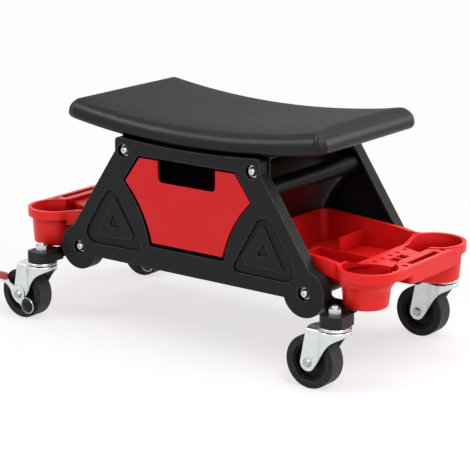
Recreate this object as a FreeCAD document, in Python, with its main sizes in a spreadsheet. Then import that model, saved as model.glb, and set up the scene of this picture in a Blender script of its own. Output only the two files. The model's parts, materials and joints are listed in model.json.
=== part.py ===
import FreeCAD, Part
import math
import os
import Sketcher
from FreeCAD import Placement, Rotation, Vector

# Creeper seat, in millimetres
# Frame: +X along the seat, +Y away from the drawer front, +Z up, the floor at Z = 0,
# and the origin on the floor under the middle of the seat

SIZES = {
    # Side panels
    "panel_face_y": 128.0,
    "panel_depth": 20.0,
    "panel_web": 5.0,
    "panel_wall": 4.0,
    "panel_top_z": 300.0,
    "panel_middle_z": 294.8,
    "panel_bow_radius": 1450.0,
    "panel_shoulder_z": 279.0,
    "panel_half_top": 130.0,
    "panel_half_foot": 236.0,
    "panel_belly_z": 111.5,
    "panel_top_round": 7.0,
    "lobe_x": 204.5,
    "lobe_z": 121.5,
    "lobe_radius": 34.0,
    "boss_radius": 15.0,
    "top_bolt_x": 115.0,
    "top_bolt_z": 280.5,
    "bolt_recess_radius": 10.0,
    "bolt_recess_depth": 7.0,
    "relief_depth": 2.8,
    "relief_round": 17.0,
    "relief_inner_round": 8.5,
    "raised_drop": 0.9,
    "raised_round": 2.8,
    "raised_inner_round": 8.5,
    "dimple_round": 2.3,
    "dimple_outer_round": 4.9,
    # Drawer
    "front_top_half": 85.7,
    "front_top_z": 273.5,
    "front_side_half": 113.0,
    "front_side_z": 236.0,
    "front_foot_half": 64.0,
    "front_foot_z": 150.0,
    "front_side_radius": 175.0,
    "front_gap": 3.5,
    "front_foot_gap": 5.5,
    "front_inset": 1.5,
    "drawer_wall": 2.6,
    "notch_half": 52.0,
    "notch_z": 242.0,
    "notch_round": 8.0,
    # Cross tubes and rails
    "upper_tube_x": 126.0,
    "upper_tube_z": 252.0,
    "upper_tube_radius": 14.0,
    "lower_tube_radius": 11.3,
    "tube_wall": 2.0,
    "rail_inner_x": 46.0,
    "rail_step_x": 62.0,
    "rail_outer_x": 96.0,
    "rail_foot_z": 122.0,
    "rail_tenon": 12.0,
    # Seat
    "seat_half_length": 229.0,
    "seat_half_width": 125.0,
    "seat_corner": 24.0,
    "seat_foot_z": 298.5,
    "seat_thick": 30.0,
    "seat_crown": 2.0,
    "seat_bow_radius": 1250.0,
    "seat_top_round": 10.0,
    "seat_foot_round": 4.0,
    "board_margin": 20.0,
    "board_gap": 3.0,
    "board_thick": 8.0,
    "board_foot_half": 18.0,
    "board_foot_deep": 21.0,
    "strap_thick": 3.0,
    "strap_half_width": 17.0,
    "strap_drop": 32.0,
    # Bolts and screws
    "bolt_radius": 4.0,
    "bolt_head_radius": 7.0,
    "bolt_head_tall": 4.4,
    "bolt_washer_radius": 8.6,
    "bolt_washer_thick": 1.6,
    "bolt_socket_radius": 2.9,
    "bolt_socket_deep": 2.6,
    "bolt_grip": 14.0,
    "hole_clear": 0.2,
    "weld_nut_radius": 7.5,
    "weld_nut_tall": 6.0,
    "screw_radius": 2.5,
    "screw_head_radius": 5.0,
    "screw_head_tall": 2.5,
    "screw_bite": 6.0,
    "screw_inset": 10.0,
    # Caster arms
    "stem_x": 267.0,
    "stem_y": 143.0,
    "arm_half_width": 18.0,
    "arm_nose": 17.0,
    "arm_foot_z": 92.0,
    "arm_top_z": 109.0,
    "arm_round": 9.0,
    "arm_heel_round": 13.0,
    "arm_plate_thick": 9.0,
    "arm_eye_radius": 25.0,
    "arm_block_z": 95.0,
    "arm_block_x": 218.0,
    "arm_block_end_x": 262.0,
    "arm_gusset_x": 246.0,
    "arm_block_y": 80.0,
    "arm_heel_y": 114.0,
    # Casters
    "wheel_radius": 38.2,
    "tyre_width": 29.0,
    "tyre_round": 2.5,
    "tyre_deep": 11.0,
    "core_width": 23.0,
    "core_dish": 5.0,
    "core_rim": 4.0,
    "hub_radius": 9.0,
    "trail": 32.0,
    "race_radius": 23.5,
    "race_thick": 3.6,
    "race_neck": 17.0,
    "race_gap": 0.8,
    "fork_plate_thick": 3.0,
    "fork_gap": 31.5,
    "fork_leg_thick": 2.5,
    "fork_leg_end": 11.0,
    "fork_leg_back": 7.5,
    "fork_leg_front": 12.0,
    "fork_plate_round": 23.5,
    "stem_radius": 5.0,
    "stem_nut_radius": 9.3,
    "stem_nut_tall": 8.0,
    "stem_over": 4.0,
    "stem_running_gap": 0.05,
    "axle_radius": 4.0,
    "axle_gap": 0.05,
    "axle_head_radius": 6.8,
    "axle_head_tall": 4.0,
    "hub_side_gap": 0.3,
    # Wheel brakes
    "brake_plate_thick": 2.0,
    "brake_gap": 0.3,
    "brake_hub_radius": 11.5,
    "brake_arm_x": 27.0,
    "brake_arm_z": 22.0,
    "brake_arm_radius": 5.5,
    "brake_heel_x": 19.0,
    "brake_heel_z": 14.0,
    "brake_heel_radius": 8.5,
    "pad_half": 8.0,
    "pad_tall": 12.0,
    "pad_thick": 7.0,
    "pad_round": 3.0,
    "pad_rise": 4.0,
    # Trays
    "tray_inner_x": 79.0,
    "tray_half_width": 103.0,
    "tray_basin_end_x": 250.0,
    "tray_wall": 2.5,
    "tray_lean": 8.0,
    "tray_corner": 14.0,
    "tray_floor_z": 133.0,
    "tray_inner_rim_z": 180.0,
    "tray_mid_rim_x": 222.0,
    "tray_mid_rim_z": 170.0,
    "tray_rim_z": 165.0,
    "tray_band": 22.0,
    "tray_band_thick": 2.2,
    "divider_x": 158.0,
    "divider_y": 22.0,
    "divider_stub_y": 28.0,
    "divider_z": 160.0,
    "divider_thick": 2.4,
    "deck_z": 158.0,
    "deck_thick": 3.0,
    "deck_front_y": 62.0,
    "deck_rear_y": 80.0,
    "lip_fall": 20.0,
    "deck_strip_x": 299.0,
    "deck_strip_z": 164.0,
    "deck_box_z": 139.0,
    "deck_box_y": 50.0,
    "deck_box_round": 5.0,
    "cup_x": 285.5,
    "cup_y": 86.5,
    "cup_lip_radius": 44.0,
    "cup_lip_tall": 13.0,
    "cup_mouth_radius": 38.5,
    "cup_body_radius": 38.0,
    "cup_foot_radius": 35.5,
    "cup_foot_z": 109.3,
    "cup_foot_round": 4.0,
    "tier_x": 280.0,
    "tier_top_radius": 39.5,
    "tier_shoulder_radius": 38.5,
    "tier_shoulder_z": 143.0,
    "tier_foot_radius": 34.0,
    "tier_foot_z": 136.5,
    "cup_small_radius": 31.0,
    "lip_blend": 12.0,
    "cup_bay_y": 34.0,
    "cup_bay_side_y": 50.0,
    "cup_bay_foot_z": 133.0,
    "mug_slot_x": 14.0,
    "mug_slot_half": 3.5,
    "mug_slot_reach": 46.5,
    "mug_slot_deep": 16.0,
    "tool_hole_radius": 3.9,
    "tool_hole_x": 263.0,
    "tool_hole_pitch": 19.5,
    "tool_square_x": 281.0,
    "tool_square_y": -4.0,
    "tool_square_half": 8.0,
    "tool_square_pitch": 19.0,
    "tool_slot_x": 317.0,
    "tool_slot_half_width": 5.4,
    "tool_slot_half_length": 37.5,
    "tool_end_hole_x": 318.0,
    "tool_end_hole_y": 50.0,
    "tool_end_hole_radius": 4.4,
    # Shared
    "overrun": 5.0,
}

TOOL_HOLE_COUNT = 5
HEX_SIDES = 6
HEAD_CROWN_SHARE = 0.6
AXLE_CROWN_SHARE = 0.75
LEFT = -1
RIGHT = 1
FRONT = -1
REAR = 1
SIDE_NAMES = {LEFT: "left", RIGHT: "right"}
FACE_NAMES = {FRONT: "front", REAR: "rear"}
QUARTER_TURN = 90.0
HALF_TURN = 180.0

doc = FreeCAD.newDocument("CreeperSeat")
sheet = doc.addObject("Spreadsheet::Sheet", "Sizes")
for row, (alias, value) in enumerate(SIZES.items(), start=1):
    sheet.set("A%d" % row, alias)
    sheet.set("B%d" % row, str(value))
    sheet.setAlias("B%d" % row, alias)
doc.recompute()


class Size:
    """A length that knows its value and the expression over the sheet's cells."""

    def __init__(self, value, text):
        self.value = value
        self.text = text

    def __add__(self, other):
        other = as_size(other)
        return Size(self.value + other.value, "(%s + %s)" % (self.text, other.text))

    def __sub__(self, other):
        other = as_size(other)
        return Size(self.value - other.value, "(%s - %s)" % (self.text, other.text))

    def __mul__(self, other):
        other = as_size(other)
        return Size(self.value * other.value, "%s * %s" % (self.text, other.text))

    def __truediv__(self, other):
        other = as_size(other)
        return Size(self.value / other.value, "(%s / (%s))" % (self.text, other.text))

    def __rmul__(self, other):
        return as_size(other) * self

    def __radd__(self, other):
        return as_size(other) + self

    def __neg__(self):
        return as_size(-1) * self


def as_size(quantity):
    if isinstance(quantity, Size):
        return quantity
    return Size(float(quantity), "(%s)" % quantity)


def root(size):
    return Size(math.sqrt(size.value), "sqrt(%s)" % size.text)


class Sizes:
    """The sheet's cells by name."""

    def __init__(self, table):
        for alias, value in table.items():
            setattr(self, alias, Size(value, "Sizes.%s" % alias))


s = Sizes(SIZES)
ZERO = as_size(0)


# Helpers that make document objects bound to the sheet

def bind(obj, prop, size):
    size = as_size(size)
    obj.setExpression(prop, size.text)


class Station:
    """Where a group of pieces is built: an offset, and whether it faces the other way."""

    def __init__(self, x, y, reverse):
        self.x = x
        self.y = y
        self.reverse = reverse

    def turn(self, rotation):
        half = Rotation(Vector(0, 0, 1), HALF_TURN)
        return half.multiply(rotation) if self.reverse else rotation

    def sign(self):
        return -1 if self.reverse else 1


MIDDLE = Station(ZERO, ZERO, False)
stations = [MIDDLE]


def build_at(station, maker, *details):
    """Run a maker with all its primitives placed at a station."""
    stations.append(station)
    made = maker(*details)
    stations.pop()
    return made


def place(obj, x=ZERO, y=ZERO, z=ZERO, turn=None):
    """Put an object at a bound place of the present station, after an optional fixed turn."""
    station = stations[-1]
    obj.Placement = Placement(Vector(), station.turn(turn or Rotation()))
    bind(obj, "Placement.Base.x", station.x + station.sign() * as_size(x))
    bind(obj, "Placement.Base.y", station.y + station.sign() * as_size(y))
    bind(obj, "Placement.Base.z", z)
    return obj


ALONG_Y = Rotation(Vector(1, 0, 0), -QUARTER_TURN)
UPRIGHT = Rotation(Vector(1, 0, 0), QUARTER_TURN)
ACROSS = Rotation(Vector(1, 1, 1), QUARTER_TURN + QUARTER_TURN / 3)


def block(name, x, y, z):
    """A box from low to high pairs of sizes."""
    obj = doc.addObject("Part::Box", name)
    for prop, pair in (("Length", x), ("Width", y), ("Height", z)):
        bind(obj, prop, as_size(pair[1]) - pair[0])
    return place(obj, x[0], y[0], z[0])


def rod(name, radius, length, x, y, z, turn=None):
    """A cylinder that starts at a point and runs along +Z, or along +Y when turned."""
    obj = doc.addObject("Part::Cylinder", name)
    bind(obj, "Radius", radius)
    bind(obj, "Height", length)
    return place(obj, x, y, z, turn)


def taper(name, low_radius, top_radius, length, x, y, z, turn=None):
    obj = doc.addObject("Part::Cone", name)
    bind(obj, "Radius1", low_radius)
    bind(obj, "Radius2", top_radius)
    bind(obj, "Height", length)
    return place(obj, x, y, z, turn)


def prism(name, sides, radius, length, x, y, z, turn=None):
    """A regular prism, such as a hexagonal nut."""
    obj = doc.addObject("Part::Prism", name)
    obj.Polygon = sides
    bind(obj, "Circumradius", radius)
    bind(obj, "Height", length)
    return place(obj, x, y, z, turn)


def cut(name, base, *tools):
    obj = doc.addObject("Part::Cut", name)
    obj.Base = base
    obj.Tool = tools[0] if len(tools) == 1 else fuse(name + "_tools", *tools)
    return obj


def fuse(name, *shapes):
    obj = doc.addObject("Part::MultiFuse", name)
    obj.Shapes = list(shapes)
    obj.Refine = True
    return obj


def common(name, *shapes):
    obj = doc.addObject("Part::MultiCommon", name)
    obj.Shapes = list(shapes)
    return obj


class Corner:
    """A corner of an outline: its place, its rounding, and a bulge on the run that follows."""

    def __init__(self, x, y, round_by=None, bend=None, hollow=False):
        self.x = as_size(x)
        self.y = as_size(y)
        self.round_by = round_by
        self.bend = bend
        self.hollow = hollow

    def point(self):
        return Vector(self.x.value, self.y.value, 0)


def pin(sketch, geometry, which, corner):
    """Hold a point of the sketch at a corner's place with bound dimensions."""
    for kind, size in (("DistanceX", corner.x), ("DistanceY", corner.y)):
        number = sketch.addConstraint(Sketcher.Constraint(kind, -1, 1, geometry, which, size.value))
        sketch.setExpression("Constraints[%d]" % number, size.text)


def round_points(before, corner, after):
    """Where a rounding of a corner starts and ends, and its centre."""
    here = corner.point()
    to_before = (before.point() - here).normalize()
    to_after = (after.point() - here).normalize()
    half = to_before.getAngle(to_after) / 2
    radius = corner.round_by.value
    start = here + to_before * (radius / math.tan(half))
    end = here + to_after * (radius / math.tan(half))
    centre = here + (to_before + to_after).normalize() * (radius / math.sin(half))
    return start, end, centre


def arc_between(start, end, centre, radius):
    """The short arc of a circle from start to end, and whether its ends are swapped."""
    circle = Part.Circle(centre, Vector(0, 0, 1), radius)
    first = circle.parameter(start)
    last = circle.parameter(end)
    sweep = (last - first) % (2 * math.pi)
    if sweep < math.pi:
        return Part.ArcOfCircle(circle, first, last), False
    return Part.ArcOfCircle(circle, last, first), True


def bend_centre(start, end, radius, hollow):
    """The centre of a bent run of a clockwise outline, which bulges out unless it is hollow."""
    chord = end - start
    middle = (start + end) * 0.5
    normal = Vector(-chord.y, chord.x, 0).normalize()
    reach = math.sqrt(radius * radius - chord.Length * chord.Length / 4)
    return middle + normal * (reach if hollow else -reach)


def outline(name, corners, turn=None, x=ZERO, y=ZERO, z=ZERO):
    """A closed sketch through corners, with bound places, roundings and bends."""
    sketch = doc.addObject("Sketcher::SketchObject", name)
    count = len(corners)
    starts = []
    ends = []
    centres = []
    for index, corner in enumerate(corners):
        before = corners[index - 1]
        after = corners[(index + 1) % count]
        if corner.round_by is None:
            starts.append(corner.point())
            ends.append(corner.point())
            centres.append(None)
        else:
            start, end, centre = round_points(before, corner, after)
            starts.append(start)
            ends.append(end)
            centres.append(centre)
    runs = []
    for index, corner in enumerate(corners):
        tail = ends[index]
        head = starts[(index + 1) % count]
        if corner.bend is None:
            runs.append((sketch.addGeometry(Part.LineSegment(tail, head), False), 1, 2))
            continue
        centre = bend_centre(tail, head, corner.bend.value, corner.hollow)
        arc, swapped = arc_between(tail, head, centre, corner.bend.value)
        run = sketch.addGeometry(arc, False)
        runs.append((run, 2, 1) if swapped else (run, 1, 2))
        number = sketch.addConstraint(Sketcher.Constraint("Radius", run, corner.bend.value))
        sketch.setExpression("Constraints[%d]" % number, corner.bend.text)
    for index, corner in enumerate(corners):
        come, _, come_end = runs[index - 1]
        leave, leave_start, _ = runs[index]
        if corner.round_by is None:
            sketch.addConstraint(Sketcher.Constraint("Coincident", come, come_end, leave, leave_start))
            pin(sketch, leave, leave_start, corner)
            continue
        arc, swapped = arc_between(starts[index], ends[index], centres[index], corner.round_by.value)
        bow = sketch.addGeometry(arc, False)
        first, last = (2, 1) if swapped else (1, 2)
        sketch.addConstraint(Sketcher.Constraint("Tangent", come, come_end, bow, first))
        sketch.addConstraint(Sketcher.Constraint("Tangent", leave, leave_start, bow, last))
        number = sketch.addConstraint(Sketcher.Constraint("Radius", bow, corner.round_by.value))
        sketch.setExpression("Constraints[%d]" % number, corner.round_by.text)
        mark = sketch.addGeometry(Part.Point(corner.point()), True)
        sketch.addConstraint(Sketcher.Constraint("PointOnObject", mark, 1, come))
        sketch.addConstraint(Sketcher.Constraint("PointOnObject", mark, 1, leave))
        pin(sketch, mark, 1, corner)
    return place(sketch, x, y, z, turn)


def extrude(name, sketch, direction, length):
    obj = doc.addObject("Part::Extrusion", name)
    obj.Base = sketch
    obj.DirMode = "Custom"
    obj.Dir = stations[-1].turn(Rotation()).multVec(direction)
    obj.Solid = True
    bind(obj, "LengthFwd", length)
    return obj


def slab_y(name, corners, low_y, high_y):
    """A plate whose outline lies in X and Z, between two places along Y."""
    sketch = outline(name + "_outline", corners, UPRIGHT, y=low_y)
    return extrude(name, sketch, Vector(0, 1, 0), high_y - low_y)


def slab_x(name, corners, low_x, high_x):
    """A plate whose outline lies in Y and Z, between two places along X."""
    sketch = outline(name + "_outline", corners, ACROSS, x=low_x)
    return extrude(name, sketch, Vector(1, 0, 0), high_x - low_x)


def slab_z(name, corners, low_z, high_z):
    """A plate whose outline lies in X and Y, between two heights."""
    sketch = outline(name + "_outline", corners, z=low_z)
    return extrude(name, sketch, Vector(0, 0, 1), high_z - low_z)


def loft(name, low, high):
    obj = doc.addObject("Part::Loft", name)
    obj.Sections = [low, high]
    obj.Solid = True
    obj.Ruled = True
    return obj


def rounded_edges(name, base, chosen, radius):
    """Round the edges of a solid that a test chooses."""
    doc.recompute()
    numbers = [i for i, edge in enumerate(base.Shape.Edges, start=1) if chosen(edge)]
    obj = doc.addObject("Part::Fillet", name)
    obj.Base = base
    obj.Edges = [(number, radius.value, radius.value) for number in numbers]
    return obj


def box_corners(low_x, high_x, low_y, high_y, round_by):
    return [
        Corner(low_x, low_y, round_by),
        Corner(high_x, low_y, round_by),
        Corner(high_x, high_y, round_by),
        Corner(low_x, high_y, round_by),
    ]


def both_sides(corners):
    """An outline from its right half, given from top to bottom."""
    mirrored = []
    for index, corner in enumerate(corners):
        bent = corners[index - 1].bend if index else None
        mirrored.append(Corner(-corner.x, corner.y, corner.round_by, bent, corners[index - 1].hollow))
    return corners + mirrored[::-1]


pieces = {}


def piece(node, obj):
    """Keep an object as a named piece of the seat."""
    obj.Label = node
    pieces[node] = obj
    return obj


# Places that several pieces share

panel_back_y = s.panel_face_y - s.panel_depth
web_back_y = s.panel_face_y - s.panel_web
slope_run = s.panel_half_foot - s.panel_half_top
slope_fall = s.panel_shoulder_z - s.lobe_z
slope_shift = s.panel_wall * root(slope_run * slope_run + slope_fall * slope_fall) / slope_fall
head_seat_y = s.panel_face_y - s.bolt_recess_depth
rail_top_z = s.front_foot_z
tray_foot_z = s.tray_floor_z
strap_top_z = s.panel_top_z
hole_radius = s.bolt_radius + s.hole_clear
board_edge_y = panel_back_y - s.board_gap
screw_y = board_edge_y - s.screw_inset
race_top_z = s.arm_foot_z
race_foot_z = race_top_z - s.race_thick
fork_top_z = race_foot_z - s.race_gap
fork_plate_foot_z = fork_top_z - s.fork_plate_thick


def side_names():
    for along in (LEFT, RIGHT):
        for across in (FRONT, REAR):
            yield along, across, "%s_%s" % (FACE_NAMES[across], SIDE_NAMES[along])


def spread(low, high, across):
    """A pair of places along Y, in rising order, on one side of the seat."""
    return (across * high, across * low) if across < 0 else (across * low, across * high)


# Side panels

def panel_body_corners(top, shoulder, half_top, foot_shift, belly, round_by):
    return both_sides([
        Corner(half_top, top, round_by),
        Corner(half_top, shoulder),
        Corner(s.panel_half_foot - foot_shift, s.lobe_z),
        Corner(s.lobe_x, belly),
    ])


def front_corners(grow, foot_grow):
    """The six-sided drawer front, grown on all sides for its opening and its collar."""
    return both_sides([
        Corner(s.front_top_half + grow / 2, s.front_top_z + grow),
        Corner(s.front_side_half + grow, s.front_side_z, bend=s.front_side_radius - grow, hollow=True),
        Corner(s.front_foot_half + grow, s.front_foot_z - foot_grow),
    ])


def relief_corners(side):
    """The rounded triangle that is sunk into the panel's face."""
    top_x_share, top_z_share = 0.672, 0.780
    out_x_share, out_z_share = 0.993, 0.440
    in_x_share, in_z_share = 0.379, 0.443
    x = s.lobe_x * side
    z = s.panel_top_z
    return [
        Corner(x * top_x_share, z * top_z_share, s.relief_round),
        Corner(x * out_x_share, z * out_z_share, s.relief_round),
        Corner(x * in_x_share, z * in_z_share, s.relief_inner_round),
    ]


def pad_corners(side):
    """The raised triangle inside the sunk one."""
    top_x_share, top_z_share = 0.660, 0.695
    out_x_share, out_z_share = 0.836, 0.482
    in_x_share, in_z_share = 0.455, 0.491
    x = s.lobe_x * side
    z = s.panel_top_z
    return [
        Corner(x * top_x_share, z * top_z_share, s.raised_round),
        Corner(x * out_x_share, z * out_z_share, s.raised_round),
        Corner(x * in_x_share, z * in_z_share, s.raised_inner_round),
    ]


def dimple_corners(side):
    """The small triangle sunk into the raised one."""
    top_x_share, top_z_share = 0.670, 0.612
    out_x_share, out_z_share = 0.719, 0.543
    in_x_share, in_z_share = 0.601, 0.541
    x = s.lobe_x * side
    z = s.panel_top_z
    return [
        Corner(x * top_x_share, z * top_z_share, s.dimple_round),
        Corner(x * out_x_share, z * out_z_share, s.dimple_outer_round),
        Corner(x * in_x_share, z * in_z_share, s.dimple_round),
    ]


def panel(across):
    face = FACE_NAMES[across]
    tag = "panel_" + face
    full = spread(panel_back_y, s.panel_face_y, across)
    inner = spread(panel_back_y - s.overrun, web_back_y, across)
    outer = spread(panel_back_y - s.overrun, s.panel_face_y + s.overrun, across)
    body = slab_y(tag + "_plate", panel_body_corners(
        s.panel_top_z, s.panel_shoulder_z, s.panel_half_top, ZERO, s.panel_belly_z, s.panel_top_round), *full)
    hollow = slab_y(tag + "_hollow", panel_body_corners(
        s.panel_middle_z - s.panel_wall, s.panel_shoulder_z, s.panel_half_top - s.panel_wall,
        slope_shift, s.panel_belly_z + s.panel_wall, s.panel_wall), *inner)
    solids = [body]
    hollows = [hollow]
    for side in (LEFT, RIGHT):
        lobe = tag + "_lobe_" + SIDE_NAMES[side]
        solids.append(rod(lobe, s.lobe_radius, s.panel_depth, side * s.lobe_x, full[0], s.lobe_z, ALONG_Y))
        hollows.append(rod(lobe + "_hollow", s.lobe_radius - s.panel_wall, inner[1] - inner[0],
                           side * s.lobe_x, inner[0], s.lobe_z, ALONG_Y))
    shell = cut(tag + "_shell", fuse(tag + "_solid", *solids), *hollows)
    collar = slab_y(tag + "_collar", front_corners(s.front_gap + s.panel_wall,
                                                   s.front_foot_gap + s.panel_wall), *full)
    inside = [shell, collar]
    cuts = [slab_y(tag + "_opening", front_corners(s.front_gap, s.front_foot_gap), *outer),
            rod(tag + "_bow", s.panel_bow_radius, outer[1] - outer[0], ZERO, outer[0],
                s.panel_middle_z + s.panel_bow_radius, ALONG_Y)]
    for side in (LEFT, RIGHT):
        name = "%s_%s" % (tag, SIDE_NAMES[side])
        bolts = ((s.top_bolt_x, s.top_bolt_z, "top"), (s.lobe_x, s.lobe_z, "foot"))
        for bolt_x, bolt_z, where in bolts:
            inside.append(rod("%s_%s_boss" % (name, where), s.boss_radius, s.panel_depth,
                              side * bolt_x, full[0], bolt_z, ALONG_Y))
            recess = spread(head_seat_y, s.panel_face_y + s.overrun, across)
            cuts.append(rod("%s_%s_recess" % (name, where), s.bolt_recess_radius,
                            recess[1] - recess[0], side * bolt_x, recess[0], bolt_z, ALONG_Y))
            cuts.append(rod("%s_%s_hole" % (name, where), hole_radius, outer[1] - outer[0],
                            side * bolt_x, outer[0], bolt_z, ALONG_Y))
        inside.append(rod(name + "_tube_boss", s.upper_tube_radius, s.panel_depth,
                          side * s.upper_tube_x, full[0], s.upper_tube_z, ALONG_Y))
        inside.append(block(name + "_rail_boss", rail_span(side, s.panel_wall),
                            full, (s.panel_belly_z, rail_top_z - s.front_foot_gap)))
        cuts.append(block(name + "_rail_socket", rail_span(side, s.hole_clear),
                          spread(panel_back_y - s.overrun, panel_back_y + s.rail_tenon + s.hole_clear, across),
                          (s.rail_foot_z - s.hole_clear, s.tray_floor_z + s.hole_clear)))
        sunk = spread(s.panel_face_y - s.relief_depth, s.panel_face_y + s.overrun, across)
        low = spread(s.panel_face_y - s.relief_depth - s.raised_drop, s.panel_face_y - s.raised_drop,
                     across)
        dimple = spread(s.panel_face_y - s.relief_depth, s.panel_face_y + s.overrun, across)
        relief = slab_y(name + "_relief", relief_corners(side), *sunk)
        raised = slab_y(name + "_pad", pad_corners(side), *low)
        pit = slab_y(name + "_dimple", dimple_corners(side), *dimple)
        cuts.append(cut(name + "_relief_ring", relief, raised))
        cuts.append(pit)
    whole = fuse(tag + "_whole", *inside)
    return piece("side_panel_" + face, cut(tag, whole, *cuts))


# Cross tubes, rails and seat straps

def rail_span(side, grow):
    """The rail's width along X, grown on both sides."""
    low = s.rail_step_x - grow
    high = s.rail_outer_x + grow
    return (low, high) if side > 0 else (-high, -low)


def tube(node, radius, half_length, x, z):
    outside = rod(node + "_skin", radius, 2 * half_length, x, -half_length, z, ALONG_Y)
    bore = rod(node + "_bore", radius - s.tube_wall, 2 * half_length + 2 * s.overrun,
               x, -half_length - s.overrun, z, ALONG_Y)
    return piece(node, cut(node + "_tube", outside, bore))


def lower_tube(node, x):
    """A solid-ended tie bar, with a threaded bore for the bolt at each end."""
    half_length = panel_back_y - s.arm_plate_thick
    bar = rod(node + "_bar", s.lower_tube_radius, 2 * half_length, x, -half_length, s.lobe_z, ALONG_Y)
    depth = s.bolt_grip + s.overrun
    bores = [
        rod(node + "_bore_front", s.bolt_radius, depth, x, -half_length, s.lobe_z, ALONG_Y),
        rod(node + "_bore_rear", s.bolt_radius, depth, x, half_length - depth, s.lobe_z, ALONG_Y),
    ]
    return piece(node, cut(node + "_tie", bar, *bores))


def rail(side):
    """A stepped rail: the drawer slides on its top, and a tray's inner end rests on its step."""
    name = "rail_" + SIDE_NAMES[side]
    half_length = panel_back_y
    corners = [
        Corner(side * s.rail_inner_x, s.rail_foot_z),
        Corner(side * s.rail_outer_x, s.rail_foot_z),
        Corner(side * s.rail_outer_x, tray_foot_z),
        Corner(side * s.rail_step_x, tray_foot_z),
        Corner(side * s.rail_step_x, rail_top_z),
        Corner(side * s.rail_inner_x, rail_top_z),
    ]
    bar = slab_y(name + "_bar", corners, -half_length, half_length)
    tenon = block(name + "_tenon", rail_span(side, ZERO),
                  (-half_length - s.rail_tenon, half_length + s.rail_tenon),
                  (s.rail_foot_z, tray_foot_z))
    return piece(name, fuse(name + "_whole", bar, tenon))


def strap(side):
    """A steel strap under the seat, with its ends turned down and bolted to the panels."""
    name = "seat_strap_" + SIDE_NAMES[side]
    middle = side * s.top_bolt_x
    width = (middle - s.strap_half_width, middle + s.strap_half_width)
    low_z = strap_top_z - s.strap_drop
    solids = [block(name + "_top", width, (-panel_back_y, panel_back_y),
                    (strap_top_z - s.strap_thick, strap_top_z))]
    holes = []
    for across in (FRONT, REAR):
        tag = name + "_" + FACE_NAMES[across]
        leg = spread(panel_back_y - s.strap_thick, panel_back_y, across)
        nut = spread(panel_back_y - s.strap_thick - s.weld_nut_tall, panel_back_y - s.strap_thick, across)
        solids.append(block(tag + "_leg", width, leg, (low_z, strap_top_z)))
        solids.append(rod(tag + "_nut", s.weld_nut_radius, s.weld_nut_tall, middle, nut[0],
                          s.top_bolt_z, ALONG_Y))
        through = spread(panel_back_y - s.strap_thick - s.weld_nut_tall - s.overrun,
                         panel_back_y + s.overrun, across)
        holes.append(rod(tag + "_bore", s.bolt_radius, through[1] - through[0], middle, through[0],
                         s.top_bolt_z, ALONG_Y))
        holes.append(rod(tag + "_screw_hole", s.screw_radius + s.hole_clear,
                         s.strap_thick + 2 * s.overrun, middle, across * screw_y,
                         strap_top_z - s.strap_thick - s.overrun))
    return piece(name, cut(name + "_strap", fuse(name + "_solid", *solids), *holes))


# Bolts and screws

def panel_bolt(node, across, x, z, reach_y):
    """A button-head bolt with its washer, from its seat in the panel to the end of its thread."""
    shank = spread(reach_y, head_seat_y + s.bolt_washer_thick, across)
    washer = spread(head_seat_y, head_seat_y + s.bolt_washer_thick, across)
    head = spread(head_seat_y + s.bolt_washer_thick,
                  head_seat_y + s.bolt_washer_thick + s.bolt_head_tall, across)
    body = [
        rod(node + "_shank", s.bolt_radius, shank[1] - shank[0], x, shank[0], z, ALONG_Y),
        rod(node + "_washer", s.bolt_washer_radius, s.bolt_washer_thick, x, washer[0], z, ALONG_Y),
    ]
    small = s.bolt_head_radius * HEAD_CROWN_SHARE
    radii = (s.bolt_head_radius, small) if across > 0 else (small, s.bolt_head_radius)
    body.append(taper(node + "_head", radii[0], radii[1], s.bolt_head_tall, x, head[0], z, ALONG_Y))
    crown = head_seat_y + s.bolt_washer_thick + s.bolt_head_tall
    socket = spread(crown - s.bolt_socket_deep, crown + s.overrun, across)
    key = prism(node + "_socket", HEX_SIDES, s.bolt_socket_radius, socket[1] - socket[0], x, socket[0], z,
                ALONG_Y)
    return piece(node, cut(node + "_bolt", fuse(node + "_solid", *body), key))


def bolts():
    strap_reach = panel_back_y - s.strap_thick - s.weld_nut_tall
    tie_reach = panel_back_y - s.arm_plate_thick - s.bolt_grip
    for along, across, name in side_names():
        panel_bolt("seat_bolt_" + name, across, along * s.top_bolt_x, s.top_bolt_z, strap_reach)
        panel_bolt("arm_bolt_" + name, across, along * s.lobe_x, s.lobe_z, tie_reach)


def seat_screws():
    for along, across, name in side_names():
        node = "seat_screw_" + name
        x = along * s.top_bolt_x
        y = across * screw_y
        head_z = strap_top_z - s.strap_thick - s.screw_head_tall
        shank = s.screw_head_tall + s.strap_thick + s.screw_bite
        solid = fuse(node + "_screw",
                     rod(node + "_head", s.screw_head_radius, s.screw_head_tall, x, y, head_z),
                     rod(node + "_shank", s.screw_radius, shank, x, y, head_z))
        piece(node, solid)


# Seat board and cushion

def bowed(name, low, high, half_width, crown):
    """A band bowed along the seat: a section across it, turned about an axis far above."""
    axis_z = s.seat_foot_z + s.seat_thick + s.seat_bow_radius
    half = as_size(half_width)
    bend = None if crown is None else (half * half + crown * crown) / (2 * crown)
    corners = [
        Corner(-half, high, bend=bend),
        Corner(half, high),
        Corner(half, low),
        Corner(-half, low),
    ]
    section = outline(name + "_section", corners, ACROSS)
    band = doc.addObject("Part::Revolution", name)
    band.Source = section
    band.Axis = Vector(0, 1, 0)
    band.Base = Vector(0, 0, axis_z.value)
    for axis, text in (("x", "0"), ("y", "0"), ("z", axis_z.text)):
        band.setExpression("Base." + axis, text)
    band.Solid = True
    band.Symmetric = True
    bind(band, "Angle", (3 * s.seat_half_length / s.seat_bow_radius) * (HALF_TURN / math.pi))
    return band


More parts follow.
